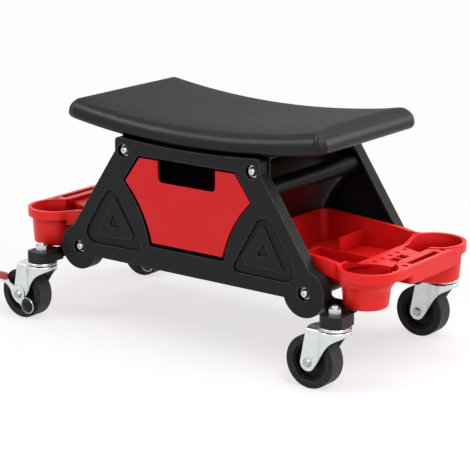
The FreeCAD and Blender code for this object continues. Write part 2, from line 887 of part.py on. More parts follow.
def board_blank():
    """The board with its feet, before its screw holes are bored."""
    name = "seat_board"
    margin = s.board_margin
    band = bowed(name + "_band", s.seat_foot_z, s.seat_foot_z + s.board_thick,
                 s.seat_half_width, None)
    plan = slab_z(name + "_plan", box_corners(
        margin - s.seat_half_length, s.seat_half_length - margin,
        -board_edge_y, board_edge_y, s.seat_corner),
        s.panel_top_z - s.overrun, s.panel_top_z + 2 * s.seat_thick)
    solids = [common(name + "_sheet", band, plan)]
    for along, across, corner_name in side_names():
        x = along * s.top_bolt_x
        foot_y = spread(board_edge_y - s.board_foot_deep, board_edge_y, across)
        solids.append(block("%s_%s_foot" % (name, corner_name),
                            (x - s.board_foot_half, x + s.board_foot_half), foot_y,
                            (strap_top_z, s.seat_foot_z + s.board_thick)))
    return fuse(name + "_solid", *solids)


def seat_board(blank):
    name = "seat_board"
    holes = [rod("%s_%s_bore" % (name, corner_name), s.screw_radius, s.screw_bite,
                 along * s.top_bolt_x, across * screw_y, strap_top_z)
             for along, across, corner_name in side_names()]
    return piece(name, cut(name + "_board", blank, *holes))


def cushion(blank):
    name = "seat_cushion"
    top = s.seat_foot_z + s.seat_thick
    band = bowed(name + "_band", s.seat_foot_z, top, s.seat_half_width + s.overrun, s.seat_crown)
    plan = slab_z(name + "_plan", box_corners(
        -s.seat_half_length, s.seat_half_length, -s.seat_half_width, s.seat_half_width,
        s.seat_corner), s.panel_top_z - s.overrun, s.panel_top_z + 3 * s.seat_thick)
    slab = common(name + "_slab", band, plan)
    doc.recompute()

    def is_top(edge):
        return not near_foot(edge) and not is_upright(edge)

    def is_upright(edge):
        box = edge.BoundBox
        return box.XLength + box.YLength < s.seat_foot_round.value

    topped = rounded_edges(name + "_topped", slab, is_top, s.seat_top_round)
    rounded = rounded_edges(name + "_rounded", topped, near_foot, s.seat_foot_round)
    return piece(name, cut(name + "_whole", rounded, blank))


def near_foot(edge):
    """True for an edge that lies on the cushion's bowed underside."""
    axis_z = (s.seat_foot_z + s.seat_thick + s.seat_bow_radius).value
    radius = axis_z - s.seat_foot_z.value
    slack_share = 0.00001
    share_steps = (0.0, 0.5, 1.0)
    first, last = edge.ParameterRange
    for share in share_steps:
        point = edge.valueAt(first + (last - first) * share)
        if abs(math.hypot(point.x, point.z - axis_z) - radius) > radius * slack_share:
            return False
    return True


# Drawer

def drawer():
    name = "drawer"
    low_y = -(s.panel_face_y - s.front_inset)
    high_y = s.panel_face_y - s.front_inset
    wall = s.drawer_wall
    shell = slab_y(name + "_shell", front_corners(ZERO, ZERO), low_y, high_y)
    room = slab_y(name + "_room", front_corners(-wall, -wall), low_y + wall, high_y - wall)
    mouth_half = s.front_top_half - wall
    mouth = block(name + "_mouth", (-mouth_half, mouth_half), (low_y + wall, high_y - wall),
                  (s.front_top_z - 2 * wall, s.front_top_z + s.overrun))
    notch = slab_y(name + "_notch", [
        Corner(-s.notch_half, s.front_top_z + s.overrun),
        Corner(-s.notch_half, s.notch_z, s.notch_round),
        Corner(s.notch_half, s.notch_z, s.notch_round),
        Corner(s.notch_half, s.front_top_z + s.overrun),
    ], low_y - s.overrun, low_y + 2 * wall)
    return piece(name, cut(name + "_box", shell, room, mouth, notch))


# Trays: built for the right end, and turned half round for the left end

tray_out_x = s.cup_x + s.cup_lip_radius
lip_foot_z = s.tray_rim_z - s.cup_lip_tall
tray_high_z = s.tray_inner_rim_z + s.overrun


def basin_corners(inset, end_x):
    """The basin's plan: rounded at the inner end, and square where it runs into the cups."""
    low_x = s.tray_inner_x + inset
    half = s.tray_half_width - inset
    return [
        Corner(low_x, -half, s.tray_corner),
        Corner(end_x, -half),
        Corner(end_x, half),
        Corner(low_x, half, s.tray_corner),
    ]


def basin(name, inset, foot_z, high_z, end_x):
    """The basin as a solid with leaning sides, set in from its outer skin."""
    low = outline(name + "_low", basin_corners(s.tray_lean + inset, end_x), z=foot_z)
    high = outline(name + "_high", basin_corners(inset, end_x), z=high_z)
    return loft(name, low, high)


def rim_corners(drop):
    """The rim's fall from the inner end to the cups, as the underside of what is cut away."""
    near_x = s.tray_inner_x - s.tray_band_thick - s.overrun
    high_z = tray_high_z + s.overrun
    return [
        Corner(near_x, high_z),
        Corner(near_x, s.tray_inner_rim_z - drop),
        Corner(s.tray_inner_x, s.tray_inner_rim_z - drop),
        Corner(s.tray_mid_rim_x, s.tray_mid_rim_z - drop),
        Corner(s.tray_basin_end_x, s.tray_rim_z - drop),
        Corner(tray_out_x + s.overrun, s.tray_rim_z - drop),
        Corner(tray_out_x + s.overrun, high_z),
    ]


def tray_band(name):
    """The hanging band round the basin, parallel to the rim."""
    thick = s.tray_band_thick
    plan = slab_z(name + "_plan", basin_corners(-thick, s.tray_basin_end_x),
                  s.tray_floor_z, tray_high_z)
    wide = s.tray_half_width + thick + s.overrun
    return common(name, plan, slab_y(name + "_side", rim_corners(s.tray_band), -wide, wide))


def lip_blend(name, sign):
    """The hollow curve that leads the basin's side into a cup's lip."""
    radius = s.lip_blend
    wall_y = s.tray_half_width + s.tray_band_thick
    reach = s.cup_lip_radius + radius
    rise = wall_y + radius - s.cup_y
    run = root(reach * reach - rise * rise)
    centre_x = s.cup_x - run
    filler = slab_z(name + "_filler", [
        Corner(centre_x, sign * (wall_y - s.tray_wall)),
        Corner(centre_x, sign * wall_y),
        Corner(centre_x + run * radius / reach, sign * (wall_y + radius - rise * radius / reach)),
        Corner(s.cup_x - s.cup_mouth_radius, sign * s.cup_y),
    ], lip_foot_z, s.tray_mid_rim_z)
    hollow = rod(name + "_hollow", radius, s.tray_mid_rim_z - lip_foot_z + 2 * s.overrun, centre_x,
                 sign * (wall_y + radius), lip_foot_z - s.overrun)
    return cut(name, filler, hollow)


def round_foot(name, low_radius, top_radius, foot_z, top_z, x, y):
    """A leaning cup wall with a rounded foot, as a solid."""
    body = taper(name + "_cone", low_radius, top_radius, top_z - foot_z, x, y, foot_z)
    half_way = (foot_z.value + top_z.value) / 2
    return rounded_edges(
        name, body, lambda edge: edge.BoundBox.ZMax < half_way, s.cup_foot_round)


def stepped_cup(name):
    """The front cup: a lip, then a short shoulder and a narrower foot set in from the end."""
    y = -s.cup_y
    return [
        rod(name + "_lip", s.cup_lip_radius, s.cup_lip_tall, s.cup_x, y, lip_foot_z),
        taper(name + "_tier", s.tier_shoulder_radius, s.tier_top_radius,
              lip_foot_z - s.tier_shoulder_z, s.tier_x, y, s.tier_shoulder_z),
        taper(name + "_shoulder", s.tier_foot_radius, s.tier_shoulder_radius,
              s.tier_shoulder_z - s.tier_foot_z, s.tier_x, y, s.tier_foot_z),
        round_foot(name + "_foot", s.cup_small_radius, s.tier_foot_radius, s.cup_foot_z,
                   s.tier_foot_z, s.tier_x, y),
    ]


def stepped_cup_room(name):
    y = -s.cup_y
    wall = s.tray_wall
    shelf_z = s.tier_shoulder_z
    return [
        rod(name + "_mouth", s.cup_mouth_radius, s.cup_lip_tall - wall + s.overrun, s.cup_x, y,
            lip_foot_z + wall),
        taper(name + "_tier_room", s.tier_shoulder_radius - wall, s.tier_top_radius - wall,
              lip_foot_z + wall - shelf_z, s.tier_x, y, shelf_z),
        taper(name + "_shoulder_room", s.tier_foot_radius - wall, s.tier_shoulder_radius - wall,
              s.tier_shoulder_z - s.tier_foot_z, s.tier_x, y, s.tier_foot_z),
        taper(name + "_foot_room", s.cup_small_radius - wall, s.tier_foot_radius - wall,
              s.tier_foot_z - s.cup_foot_z - wall, s.tier_x, y, s.cup_foot_z + wall),
        block(name + "_mug_slot", (s.cup_x + s.mug_slot_x - s.mug_slot_half,
                                   s.cup_x + s.mug_slot_x + s.mug_slot_half),
              (y + s.cup_small_radius, y + s.mug_slot_reach),
              (s.tray_rim_z - s.mug_slot_deep, s.tray_rim_z + s.overrun)),
    ]


def bay_corners(grow):
    """The slanted bay that opens the rear cup towards the deck."""
    low_x = s.cup_x - s.cup_small_radius
    high_x = s.deck_strip_x
    return [
        Corner(low_x - grow, s.cup_y),
        Corner(high_x + grow, s.cup_y),
        Corner(high_x + grow, s.cup_bay_y - grow),
        Corner(low_x - grow, s.cup_bay_side_y - grow),
    ]


def straight_cup(name):
    """The rear cup: a lip, a straight leaning body and its slanted bay."""
    return [
        rod(name + "_lip", s.cup_lip_radius, s.cup_lip_tall, s.cup_x, s.cup_y, lip_foot_z),
        round_foot(name + "_body", s.cup_foot_radius, s.cup_body_radius, s.cup_foot_z, lip_foot_z,
                   s.cup_x, s.cup_y),
        slab_z(name + "_bay", bay_corners(s.tray_wall), s.cup_bay_foot_z, s.deck_z),
    ]


def straight_cup_room(name):
    wall = s.tray_wall
    return [
        taper(name + "_mouth", s.cup_body_radius - wall, s.cup_mouth_radius, s.cup_lip_tall,
              s.cup_x, s.cup_y, lip_foot_z),
        rod(name + "_mouth_top", s.cup_mouth_radius, s.overrun, s.cup_x, s.cup_y, s.tray_rim_z),
        taper(name + "_room", s.cup_foot_radius - wall, s.cup_body_radius - wall,
              lip_foot_z - s.cup_foot_z - wall, s.cup_x, s.cup_y, s.cup_foot_z + wall),
        slab_z(name + "_bay_room", bay_corners(ZERO), s.cup_bay_foot_z + wall,
               s.tray_rim_z + s.overrun),
    ]


def deck(name):
    """The tool deck between the cups, with its raised outer strip and the box under it."""
    strip_foot_z = s.deck_strip_z - s.cup_lip_tall
    return [
        block(name + "_sheet", (s.tray_basin_end_x - s.tray_wall, s.deck_strip_x + s.tray_wall),
              (-s.cup_y, s.cup_y), (s.deck_z - s.deck_thick, s.deck_z)),
        block(name + "_strip", (s.deck_strip_x, tray_out_x), (-s.cup_y, s.cup_y),
              (strip_foot_z, s.deck_strip_z)),
        slab_z(name + "_box", box_corners(
            s.deck_strip_x, tray_out_x, -s.deck_box_y, s.cup_y, s.deck_box_round),
            s.deck_box_z, s.deck_strip_z),
    ]


def mug_pocket(name):
    """The closed pocket that the front cup's handle slot runs into."""
    wall = s.tray_wall
    half = s.mug_slot_half + wall
    x = s.cup_x + s.mug_slot_x
    return block(name + "_pocket", (x - half, x + half),
                 (s.cup_small_radius - s.cup_y, s.mug_slot_reach + wall - s.cup_y),
                 (s.tray_rim_z - s.mug_slot_deep - wall, s.deck_z))


def deck_cuts(name):
    wall = s.tray_wall
    through = (s.deck_z - s.deck_thick - s.overrun, s.deck_strip_z + s.overrun)
    deep = through[1] - through[0]
    cuts = [
        block(name + "_box_room", (s.deck_strip_x + wall, tray_out_x - wall),
              (wall - s.deck_box_y, s.deck_box_y - wall),
              (s.deck_box_z - s.overrun, s.deck_strip_z - s.deck_thick)),
        block(name + "_slot", (s.tool_slot_x - s.tool_slot_half_width,
                               s.tool_slot_x + s.tool_slot_half_width),
              (-s.tool_slot_half_length, s.tool_slot_half_length), through),
    ]
    for index in range(TOOL_HOLE_COUNT):
        y = (index - (TOOL_HOLE_COUNT - 1) / 2) * s.tool_hole_pitch
        cuts.append(rod("%s_hole_%d" % (name, index), s.tool_hole_radius, deep, s.tool_hole_x, y,
                        through[0]))
    for sign in (FRONT, REAR):
        face = FACE_NAMES[sign]
        y = s.tool_square_y + sign * s.tool_square_pitch / 2
        cuts.append(block("%s_square_%s" % (name, face),
                          (s.tool_square_x - s.tool_square_half, s.tool_square_x + s.tool_square_half),
                          (y - s.tool_square_half, y + s.tool_square_half), through))
        cuts.append(rod("%s_end_hole_%s" % (name, face), s.tool_end_hole_radius, deep,
                        s.tool_end_hole_x, sign * s.tool_end_hole_y, through[0]))
    return cuts


def dividers(name):
    """Walls that part the basin: a stub from the rear side and an L-shaped bin at the front."""
    x = (s.divider_x, s.divider_x + s.divider_thick)
    z = (s.tray_floor_z, s.divider_z)
    wide = s.tray_half_width
    walls = fuse(name + "_walls",
                 block(name + "_stub", x, (s.divider_stub_y, wide), z),
                 block(name + "_bin_side", x, (-wide, -s.divider_y), z),
                 block(name + "_bin_front", (s.divider_x, s.tray_basin_end_x),
                       (-s.divider_y - s.divider_thick, -s.divider_y), (s.tray_floor_z, s.deck_z)))
    return common(name, walls, basin(name + "_space", ZERO, s.tray_floor_z, tray_high_z,
                                     s.tray_basin_end_x))


def over_deck_corners():
    """What is cut away above the deck: the cups' lips fall to it on the basin's side."""
    high_z = tray_high_z + s.overrun
    return [
        Corner(-s.deck_front_y, s.deck_z),
        Corner(-s.deck_front_y - s.lip_fall, s.tray_rim_z),
        Corner(-s.deck_front_y - s.lip_fall, high_z),
        Corner(s.deck_rear_y + s.lip_fall, high_z),
        Corner(s.deck_rear_y + s.lip_fall, s.tray_rim_z),
        Corner(s.deck_rear_y, s.deck_z),
    ]


def make_tray(name):
    cups = stepped_cup(name + "_front_cup") + straight_cup(name + "_rear_cup")
    skin = [basin(name + "_basin", ZERO, s.tray_floor_z, tray_high_z, s.tray_basin_end_x),
            tray_band(name + "_band"),
            mug_pocket(name + "_mug"),
            lip_blend(name + "_blend_front", FRONT),
            lip_blend(name + "_blend_rear", REAR)]
    wide = s.tray_half_width + 2 * s.cup_lip_radius
    above = slab_y(name + "_above", rim_corners(ZERO), -wide, wide)
    over_deck = slab_x(name + "_over_deck", over_deck_corners(),
                       s.cup_x - s.cup_lip_radius - s.overrun, s.deck_strip_x)
    open_basin = basin(name + "_open", s.tray_wall, s.tray_floor_z + s.tray_wall,
                       tray_high_z + s.overrun, s.tray_basin_end_x - s.tray_wall)
    room = cut(name + "_room", open_basin, *cups)
    rooms = stepped_cup_room(name + "_front_cup") + straight_cup_room(name + "_rear_cup")
    whole = fuse(name + "_solid", *(skin + cups + deck(name + "_deck")))
    hollow = cut(name + "_hollow", whole, above, over_deck, room,
                 *(rooms + deck_cuts(name + "_deck")))
    return piece(name, fuse(name + "_whole", hollow, dividers(name + "_dividers")))


def trays():
    for side in (LEFT, RIGHT):
        build_at(Station(ZERO, ZERO, side == LEFT), make_tray, "tray_" + SIDE_NAMES[side])


# Caster arms

def caster_arm(along, across, name):
    """A foot bolted inside a panel's lobe, with a boss at its end for the caster's stem."""
    node = "caster_arm_" + name
    nose_y = s.stem_y + s.arm_nose
    x = along * s.stem_x
    half = s.arm_half_width

    def span_x(low, high):
        return (along * low, along * high) if along > 0 else (along * high, along * low)

    boss = slab_z(node + "_boss", [
        Corner(along * (s.stem_x - half), across * nose_y, s.arm_round),
        Corner(along * (s.stem_x + half), across * nose_y, s.arm_round),
        Corner(along * (s.stem_x + half), across * s.arm_heel_y, s.arm_heel_round),
        Corner(along * (s.stem_x - half), across * s.arm_heel_y),
    ], s.arm_foot_z, s.arm_top_z)
    heel_y = spread(s.arm_block_y, s.stem_y, across)
    heel = block(node + "_heel", span_x(s.arm_block_x, s.arm_block_end_x), heel_y,
                 (s.arm_block_z, s.arm_top_z))
    trim = block(node + "_trim", span_x(s.arm_block_x - s.overrun, s.stem_x - half),
                 spread(panel_back_y, s.stem_y + s.overrun, across),
                 (s.arm_block_z - s.overrun, s.arm_top_z + s.overrun))
    plate_y = spread(panel_back_y - s.arm_plate_thick, panel_back_y, across)
    eye = rod(node + "_eye", s.arm_eye_radius, s.arm_plate_thick, along * s.lobe_x, plate_y[0],
              s.lobe_z, ALONG_Y)
    gusset = slab_y(node + "_gusset", [
        Corner(along * s.lobe_x, s.arm_block_z),
        Corner(along * s.arm_block_end_x, s.arm_block_z),
        Corner(along * s.arm_block_end_x, s.arm_top_z),
        Corner(along * s.arm_gusset_x, s.arm_top_z),
        Corner(along * (s.lobe_x + s.arm_eye_radius), s.lobe_z),
        Corner(along * s.lobe_x, s.lobe_z + s.arm_eye_radius / 2),
    ], *plate_y)
    stem_hole = rod(node + "_stem_hole", s.stem_radius + s.hole_clear,
                    s.arm_top_z - s.arm_foot_z + 2 * s.overrun, x, across * s.stem_y,
                    s.arm_foot_z - s.overrun)
    bolt_hole = rod(node + "_bolt_hole", hole_radius, s.arm_plate_thick + 2 * s.overrun,
                    along * s.lobe_x, plate_y[0] - s.overrun, s.lobe_z, ALONG_Y)
    solid = fuse(node + "_solid", boss, cut(node + "_heel_trimmed", heel, trim), eye, gusset)
    return piece(node, cut(node + "_arm", solid, stem_hole, bolt_hole))


# Casters: built round their own stem, trailing towards -X

def link(name, low_y, high_y, first, second):
    """A flat bar with round ends, between two circles given as x, z and radius."""
    x1, z1, r1 = first
    x2, z2, r2 = second
    run_x = x2 - x1
    run_z = z2 - z1
    length = root(run_x * run_x + run_z * run_z)
    side_x = run_z / length
    side_z = -run_x / length
    bar = slab_y(name + "_bar", [
        Corner(x1 + side_x * r1, z1 + side_z * r1),
        Corner(x2 + side_x * r2, z2 + side_z * r2),
        Corner(x2 - side_x * r2, z2 - side_z * r2),
        Corner(x1 - side_x * r1, z1 - side_z * r1),
    ], low_y, high_y)
    ends = [rod("%s_end_%d" % (name, number), radius, high_y - low_y, x, low_y, z, ALONG_Y)
            for number, (x, z, radius) in enumerate((first, second))]
    return [bar] + ends


fork_half = s.fork_gap / 2 + s.fork_leg_thick


def kingpin(node):
    """The fixed stem: a stud with the upper ball race and a head under the fork."""
    foot_z = fork_plate_foot_z - s.race_gap - s.fork_leg_thick
    solid = fuse(
        node + "_pin",
        rod(node + "_stud", s.stem_radius, s.arm_top_z + s.stem_nut_tall + s.stem_over - foot_z,
            ZERO, ZERO, foot_z),
        rod(node + "_race", s.race_radius, s.race_thick / 2, ZERO, ZERO, race_foot_z),
        taper(node + "_neck", s.race_radius, s.race_neck, s.race_thick / 2, ZERO, ZERO,
              race_foot_z + s.race_thick / 2),
        rod(node + "_head", s.stem_nut_radius, s.fork_leg_thick, ZERO, ZERO, foot_z))
    return piece(node, solid)


def stem_nut(node):
    nut = prism(node + "_nut", HEX_SIDES, s.stem_nut_radius, s.stem_nut_tall, ZERO, ZERO, s.arm_top_z)
    bore = rod(node + "_bore", s.stem_radius, s.stem_nut_tall + 2 * s.overrun, ZERO, ZERO,
               s.arm_top_z - s.overrun)
    return piece(node, cut(node + "_tapped", nut, bore))


def fork(node):
    back_x = -s.trail - s.fork_leg_back
    solids = [
        rod(node + "_race", s.fork_plate_round, s.fork_plate_thick, ZERO, ZERO, fork_plate_foot_z),
        block(node + "_plate", (back_x, ZERO), (-fork_half, fork_half),
              (fork_plate_foot_z, fork_top_z)),
    ]
    cuts = [rod(node + "_stem_hole", s.stem_radius + s.stem_running_gap,
                s.fork_plate_thick + 2 * s.overrun, ZERO, ZERO, fork_plate_foot_z - s.overrun)]
    for across in (FRONT, REAR):
        tag = "%s_%s" % (node, FACE_NAMES[across])
        leg_y = spread(s.fork_gap / 2, fork_half, across)
        solids.append(slab_y(tag + "_leg", [
            Corner(back_x, fork_top_z),
            Corner(s.fork_leg_front, fork_top_z),
            Corner(s.fork_leg_front, fork_plate_foot_z - s.fork_plate_thick),
            Corner(s.fork_leg_end - s.trail, s.wheel_radius),
            Corner(-s.fork_leg_end - s.trail, s.wheel_radius),
        ], *leg_y))
        solids.append(rod(tag + "_end", s.fork_leg_end, s.fork_leg_thick, -s.trail, leg_y[0],
                          s.wheel_radius, ALONG_Y))
    cuts.append(rod(node + "_axle_hole", s.axle_radius + s.axle_gap, 2 * fork_half + 2 * s.overrun,
                    -s.trail, -fork_half - s.overrun, s.wheel_radius, ALONG_Y))
    return piece(node, cut(node + "_fork", fuse(node + "_solid", *solids), *cuts))


def axle(node, braked):
    """The wheel's bolt and nut; on a braked caster it also carries the brake plate."""
    reach = fork_half + (s.brake_plate_thick + 2 * s.brake_gap if braked else ZERO)
    tall = s.axle_head_tall
    return piece(node, fuse(
        node + "_bolt",
        rod(node + "_shank", s.axle_radius, reach + fork_half + tall, -s.trail, -reach,
            s.wheel_radius, ALONG_Y),
        taper(node + "_head", s.axle_head_radius * AXLE_CROWN_SHARE, s.axle_head_radius, tall, -s.trail,
              -reach - tall, s.wheel_radius, ALONG_Y),
        prism(node + "_nut", HEX_SIDES, s.axle_head_radius, tall, -s.trail, fork_half,
              s.wheel_radius, ALONG_Y)))


def wheel_core(node):
    half = s.core_width / 2
    rim_radius = s.wheel_radius - s.tyre_deep
    hub_half = s.fork_gap / 2 - s.hub_side_gap
    disc = rod(node + "_disc", rim_radius, s.core_width, -s.trail, -half, s.wheel_radius, ALONG_Y)
    dish = rim_radius - s.core_rim
    dishes = [
        rod(node + "_dish_front", dish, s.core_dish + s.overrun, -s.trail, -half - s.overrun,
            s.wheel_radius, ALONG_Y),
        rod(node + "_dish_rear", dish, s.core_dish + s.overrun, -s.trail, half - s.core_dish,
            s.wheel_radius, ALONG_Y),
    ]
    hub = rod(node + "_hub", s.hub_radius, 2 * hub_half, -s.trail, -hub_half, s.wheel_radius, ALONG_Y)
    bore = rod(node + "_bore", s.axle_radius + s.axle_gap, 2 * hub_half + 2 * s.overrun, -s.trail,
               -hub_half - s.overrun, s.wheel_radius, ALONG_Y)
    body = fuse(node + "_body", cut(node + "_dished", disc, *dishes), hub)
    return piece(node, cut(node + "_core", body, bore))


def tyre(node):
    half = s.tyre_width / 2
    disc = rod(node + "_disc", s.wheel_radius, s.tyre_width, -s.trail, -half, s.wheel_radius, ALONG_Y)
    rounded = rounded_edges(node + "_rounded", disc,
                            lambda edge: edge.BoundBox.YLength < s.tyre_round.value, s.tyre_round)
    bore = rod(node + "_bore", s.wheel_radius - s.tyre_deep, s.tyre_width + 2 * s.overrun, -s.trail,
               -half - s.overrun, s.wheel_radius, ALONG_Y)
    return piece(node, cut(node + "_tyre", rounded, bore))


def brake_lever(node):
    """A rocking plate on the axle, with an arm for the pad and a rounded heel."""
    high_y = -fork_half - s.brake_gap
    low_y = high_y - s.brake_plate_thick
    centre = (-s.trail, s.wheel_radius, s.brake_hub_radius)
    tip = (-s.trail - s.brake_arm_x, s.wheel_radius + s.brake_arm_z, s.brake_arm_radius)
    heel = (s.brake_heel_x - s.trail, s.wheel_radius - s.brake_heel_z, s.brake_heel_radius)
    solids = link(node + "_arm", low_y, high_y, centre, tip)
    solids += link(node + "_heel", low_y, high_y, centre, heel)
    bore = rod(node + "_bore", s.axle_radius + s.axle_gap, s.brake_plate_thick + 2 * s.overrun,
               -s.trail, low_y - s.overrun, s.wheel_radius, ALONG_Y)
    return piece(node, cut(node + "_lever", fuse(node + "_solid", *solids), bore))


def brake_pad(node):
    x = -s.trail - s.brake_arm_x
    z = s.wheel_radius + s.brake_arm_z + s.pad_rise
    high_y = -fork_half - s.brake_gap - s.brake_plate_thick
    body = block(node + "_block", (x - s.pad_half, x + s.pad_half), (high_y - s.pad_thick, high_y),
                 (z - s.pad_tall / 2, z + s.pad_tall / 2))
    rounded = rounded_edges(node + "_rounded", body, lambda edge: True, s.pad_round)
    return piece(node, rounded)


def caster(name, braked):
    tag = "caster_" + name
    kingpin(tag + "_stem")
    stem_nut(tag + "_nut")
    fork(tag + "_fork")
    axle(tag + "_axle", braked)
    wheel_core(tag + "_core")
    tyre(tag + "_tyre")
    if braked:
        brake_lever(tag + "_brake_lever")
        brake_pad(tag + "_brake_pad")


def casters():
    for along, across, name in side_names():
        caster_arm(along, across, name)
        station = Station(along * s.stem_x, across * s.stem_y, False)
        build_at(station, caster, name, along == LEFT)


# The whole seat

panel(FRONT)
panel(REAR)
for side in (LEFT, RIGHT):
    tube("upper_tube_" + SIDE_NAMES[side], s.upper_tube_radius, panel_back_y,
         side * s.upper_tube_x, s.upper_tube_z)
    lower_tube("tie_bar_" + SIDE_NAMES[side], side * s.lobe_x)
    rail(side)
    strap(side)
bolts()
seat_screws()
blank = board_blank()
seat_board(blank)
cushion(blank)
drawer()
trays()
casters()
doc.recompute()

failed = [obj.Name for obj in doc.Objects if "Invalid" in obj.State or "Error" in obj.State]
if failed:
    raise RuntimeError("failed objects: %s" % ", ".join(failed))
for node, obj in pieces.items():
    shape = obj.Shape
    if shape.isNull() or not shape.isValid() or len(shape.Solids) != 1:
        raise RuntimeError("bad shape: %s with %d solids" % (node, len(shape.Solids)))

os.makedirs("parts", exist_ok=True)
for node, obj in pieces.items():
    obj.Shape.exportStep("parts/%s.step" % node)
print("%d pieces" % len(pieces))
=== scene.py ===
import json
import math

import bpy
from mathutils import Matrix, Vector


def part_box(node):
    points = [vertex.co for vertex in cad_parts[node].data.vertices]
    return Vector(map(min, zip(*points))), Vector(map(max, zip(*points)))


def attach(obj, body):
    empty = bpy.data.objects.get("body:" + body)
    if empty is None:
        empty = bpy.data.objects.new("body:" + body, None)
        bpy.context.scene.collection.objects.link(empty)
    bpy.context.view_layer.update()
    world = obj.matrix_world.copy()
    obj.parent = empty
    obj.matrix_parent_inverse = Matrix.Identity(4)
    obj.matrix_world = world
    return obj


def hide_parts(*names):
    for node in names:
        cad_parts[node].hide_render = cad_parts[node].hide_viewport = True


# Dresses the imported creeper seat: camera and light, finishes, and the pieces that solids don't show
# Metres; +X along the seat, +Y away from the drawer front, +Z up, the floor at Z = 0

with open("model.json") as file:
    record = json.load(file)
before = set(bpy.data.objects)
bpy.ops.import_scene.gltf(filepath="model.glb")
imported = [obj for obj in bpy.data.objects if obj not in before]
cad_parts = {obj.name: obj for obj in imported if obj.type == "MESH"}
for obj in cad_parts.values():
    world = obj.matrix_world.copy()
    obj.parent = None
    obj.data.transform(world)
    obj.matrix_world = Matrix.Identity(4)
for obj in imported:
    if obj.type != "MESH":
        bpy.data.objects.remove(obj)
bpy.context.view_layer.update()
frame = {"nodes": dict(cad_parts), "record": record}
nodes = frame["nodes"]
MM = 0.001
BRAKED = ("front_left", "rear_left")
CASTERS = BRAKED + ("front_right", "rear_right")


# Camera, at the photograph's viewing angle

CAMERA_AZIMUTH = math.radians(36.8)
CAMERA_ELEVATION = math.radians(15.1)
CAMERA_DISTANCE = 2663.2 * MM
CAMERA_TARGET = Vector((-7.8, 0, 143.7)) * MM
SENSOR_WIDTH = 36
LENS = 136.98
CLIP_END = 50


def aim(obj, target):
    """Turn a lamp or the camera so that it looks at a point."""
    direction = Vector(target) - obj.location
    obj.rotation_euler = direction.to_track_quat("-Z", "Y").to_euler()


def make_camera():
    data = bpy.data.cameras.new("camera")
    data.sensor_width = SENSOR_WIDTH
    data.lens = LENS
    data.clip_end = CLIP_END
    camera = bpy.data.objects.new("camera", data)
    bpy.context.scene.collection.objects.link(camera)
    level = math.cos(CAMERA_ELEVATION)
    towards = Vector((math.sin(CAMERA_AZIMUTH) * level, -math.cos(CAMERA_AZIMUTH) * level,
                      math.sin(CAMERA_ELEVATION)))
    camera.location = CAMERA_TARGET + towards * CAMERA_DISTANCE
    aim(camera, CAMERA_TARGET)
    bpy.context.scene.camera = camera


# Light, floor and background

WORLD_STRENGTH = 0.30
WORLD_TINT = (0.985, 0.992, 1.0)
BACKGROUND_WHITE = (1.0, 1.0, 1.0)
FLOOR_COLOUR = (0.86, 0.85, 0.84)
FLOOR_WHITE = (1.0, 0.985, 0.978)
FLOOR_GLOW_SHARE = 0.70
FLOOR_CLEAR_FROM = 0.42
FLOOR_CLEAR_TO = 0.95
FLOOR_HALF = 6.0
# Each lamp's name, place, diameter and power
LAMPS = (
    ("lamp_top", (0.6, 0.2, 2.6), 1.5, 36),
    ("lamp_right", (1.6, -0.9, 2.2), 1.3, 40),
    ("lamp_rim", (1.7, 1.8, 1.25), 1.2, 14),
    ("lamp_front", (-1.5, -2.0, 2.1), 0.85, 27),
)
LAMP_TARGET = (0, 0, 0.2)


def node_at(tree, kind, **values):
    """Add a shader node and set its plain properties."""
    node = tree.nodes.new(kind)
    for name, value in values.items():
        setattr(node, name, value)
    return node


def sees_background(tree):
    """One for a camera, glossy or transmission ray, and nought for the rest."""
    path = node_at(tree, "ShaderNodeLightPath")
    first = node_at(tree, "ShaderNodeMath", operation="MAXIMUM")
    second = node_at(tree, "ShaderNodeMath", operation="MAXIMUM")
    tree.links.new(path.outputs["Is Camera Ray"], first.inputs[0])
    tree.links.new(path.outputs["Is Glossy Ray"], first.inputs[1])
    tree.links.new(first.outputs[0], second.inputs[0])
    tree.links.new(path.outputs["Is Transmission Ray"], second.inputs[1])
    return second.outputs[0]


def make_world():
    world = bpy.data.worlds.new("studio")
    bpy.context.scene.world = world
    world.use_nodes = True
    tree = world.node_tree
    tree.nodes.clear()
    shown = node_at(tree, "ShaderNodeBackground")
    shown.inputs["Color"].default_value = (*BACKGROUND_WHITE, 1)
    shown.inputs["Strength"].default_value = 1
    lit = node_at(tree, "ShaderNodeBackground")
    lit.inputs["Color"].default_value = (*WORLD_TINT, 1)
    lit.inputs["Strength"].default_value = WORLD_STRENGTH
    mix = node_at(tree, "ShaderNodeMixShader")
    out = node_at(tree, "ShaderNodeOutputWorld")
    tree.links.new(sees_background(tree), mix.inputs["Fac"])
    tree.links.new(lit.outputs[0], mix.inputs[1])
    tree.links.new(shown.outputs[0], mix.inputs[2])
    tree.links.new(mix.outputs[0], out.inputs["Surface"])


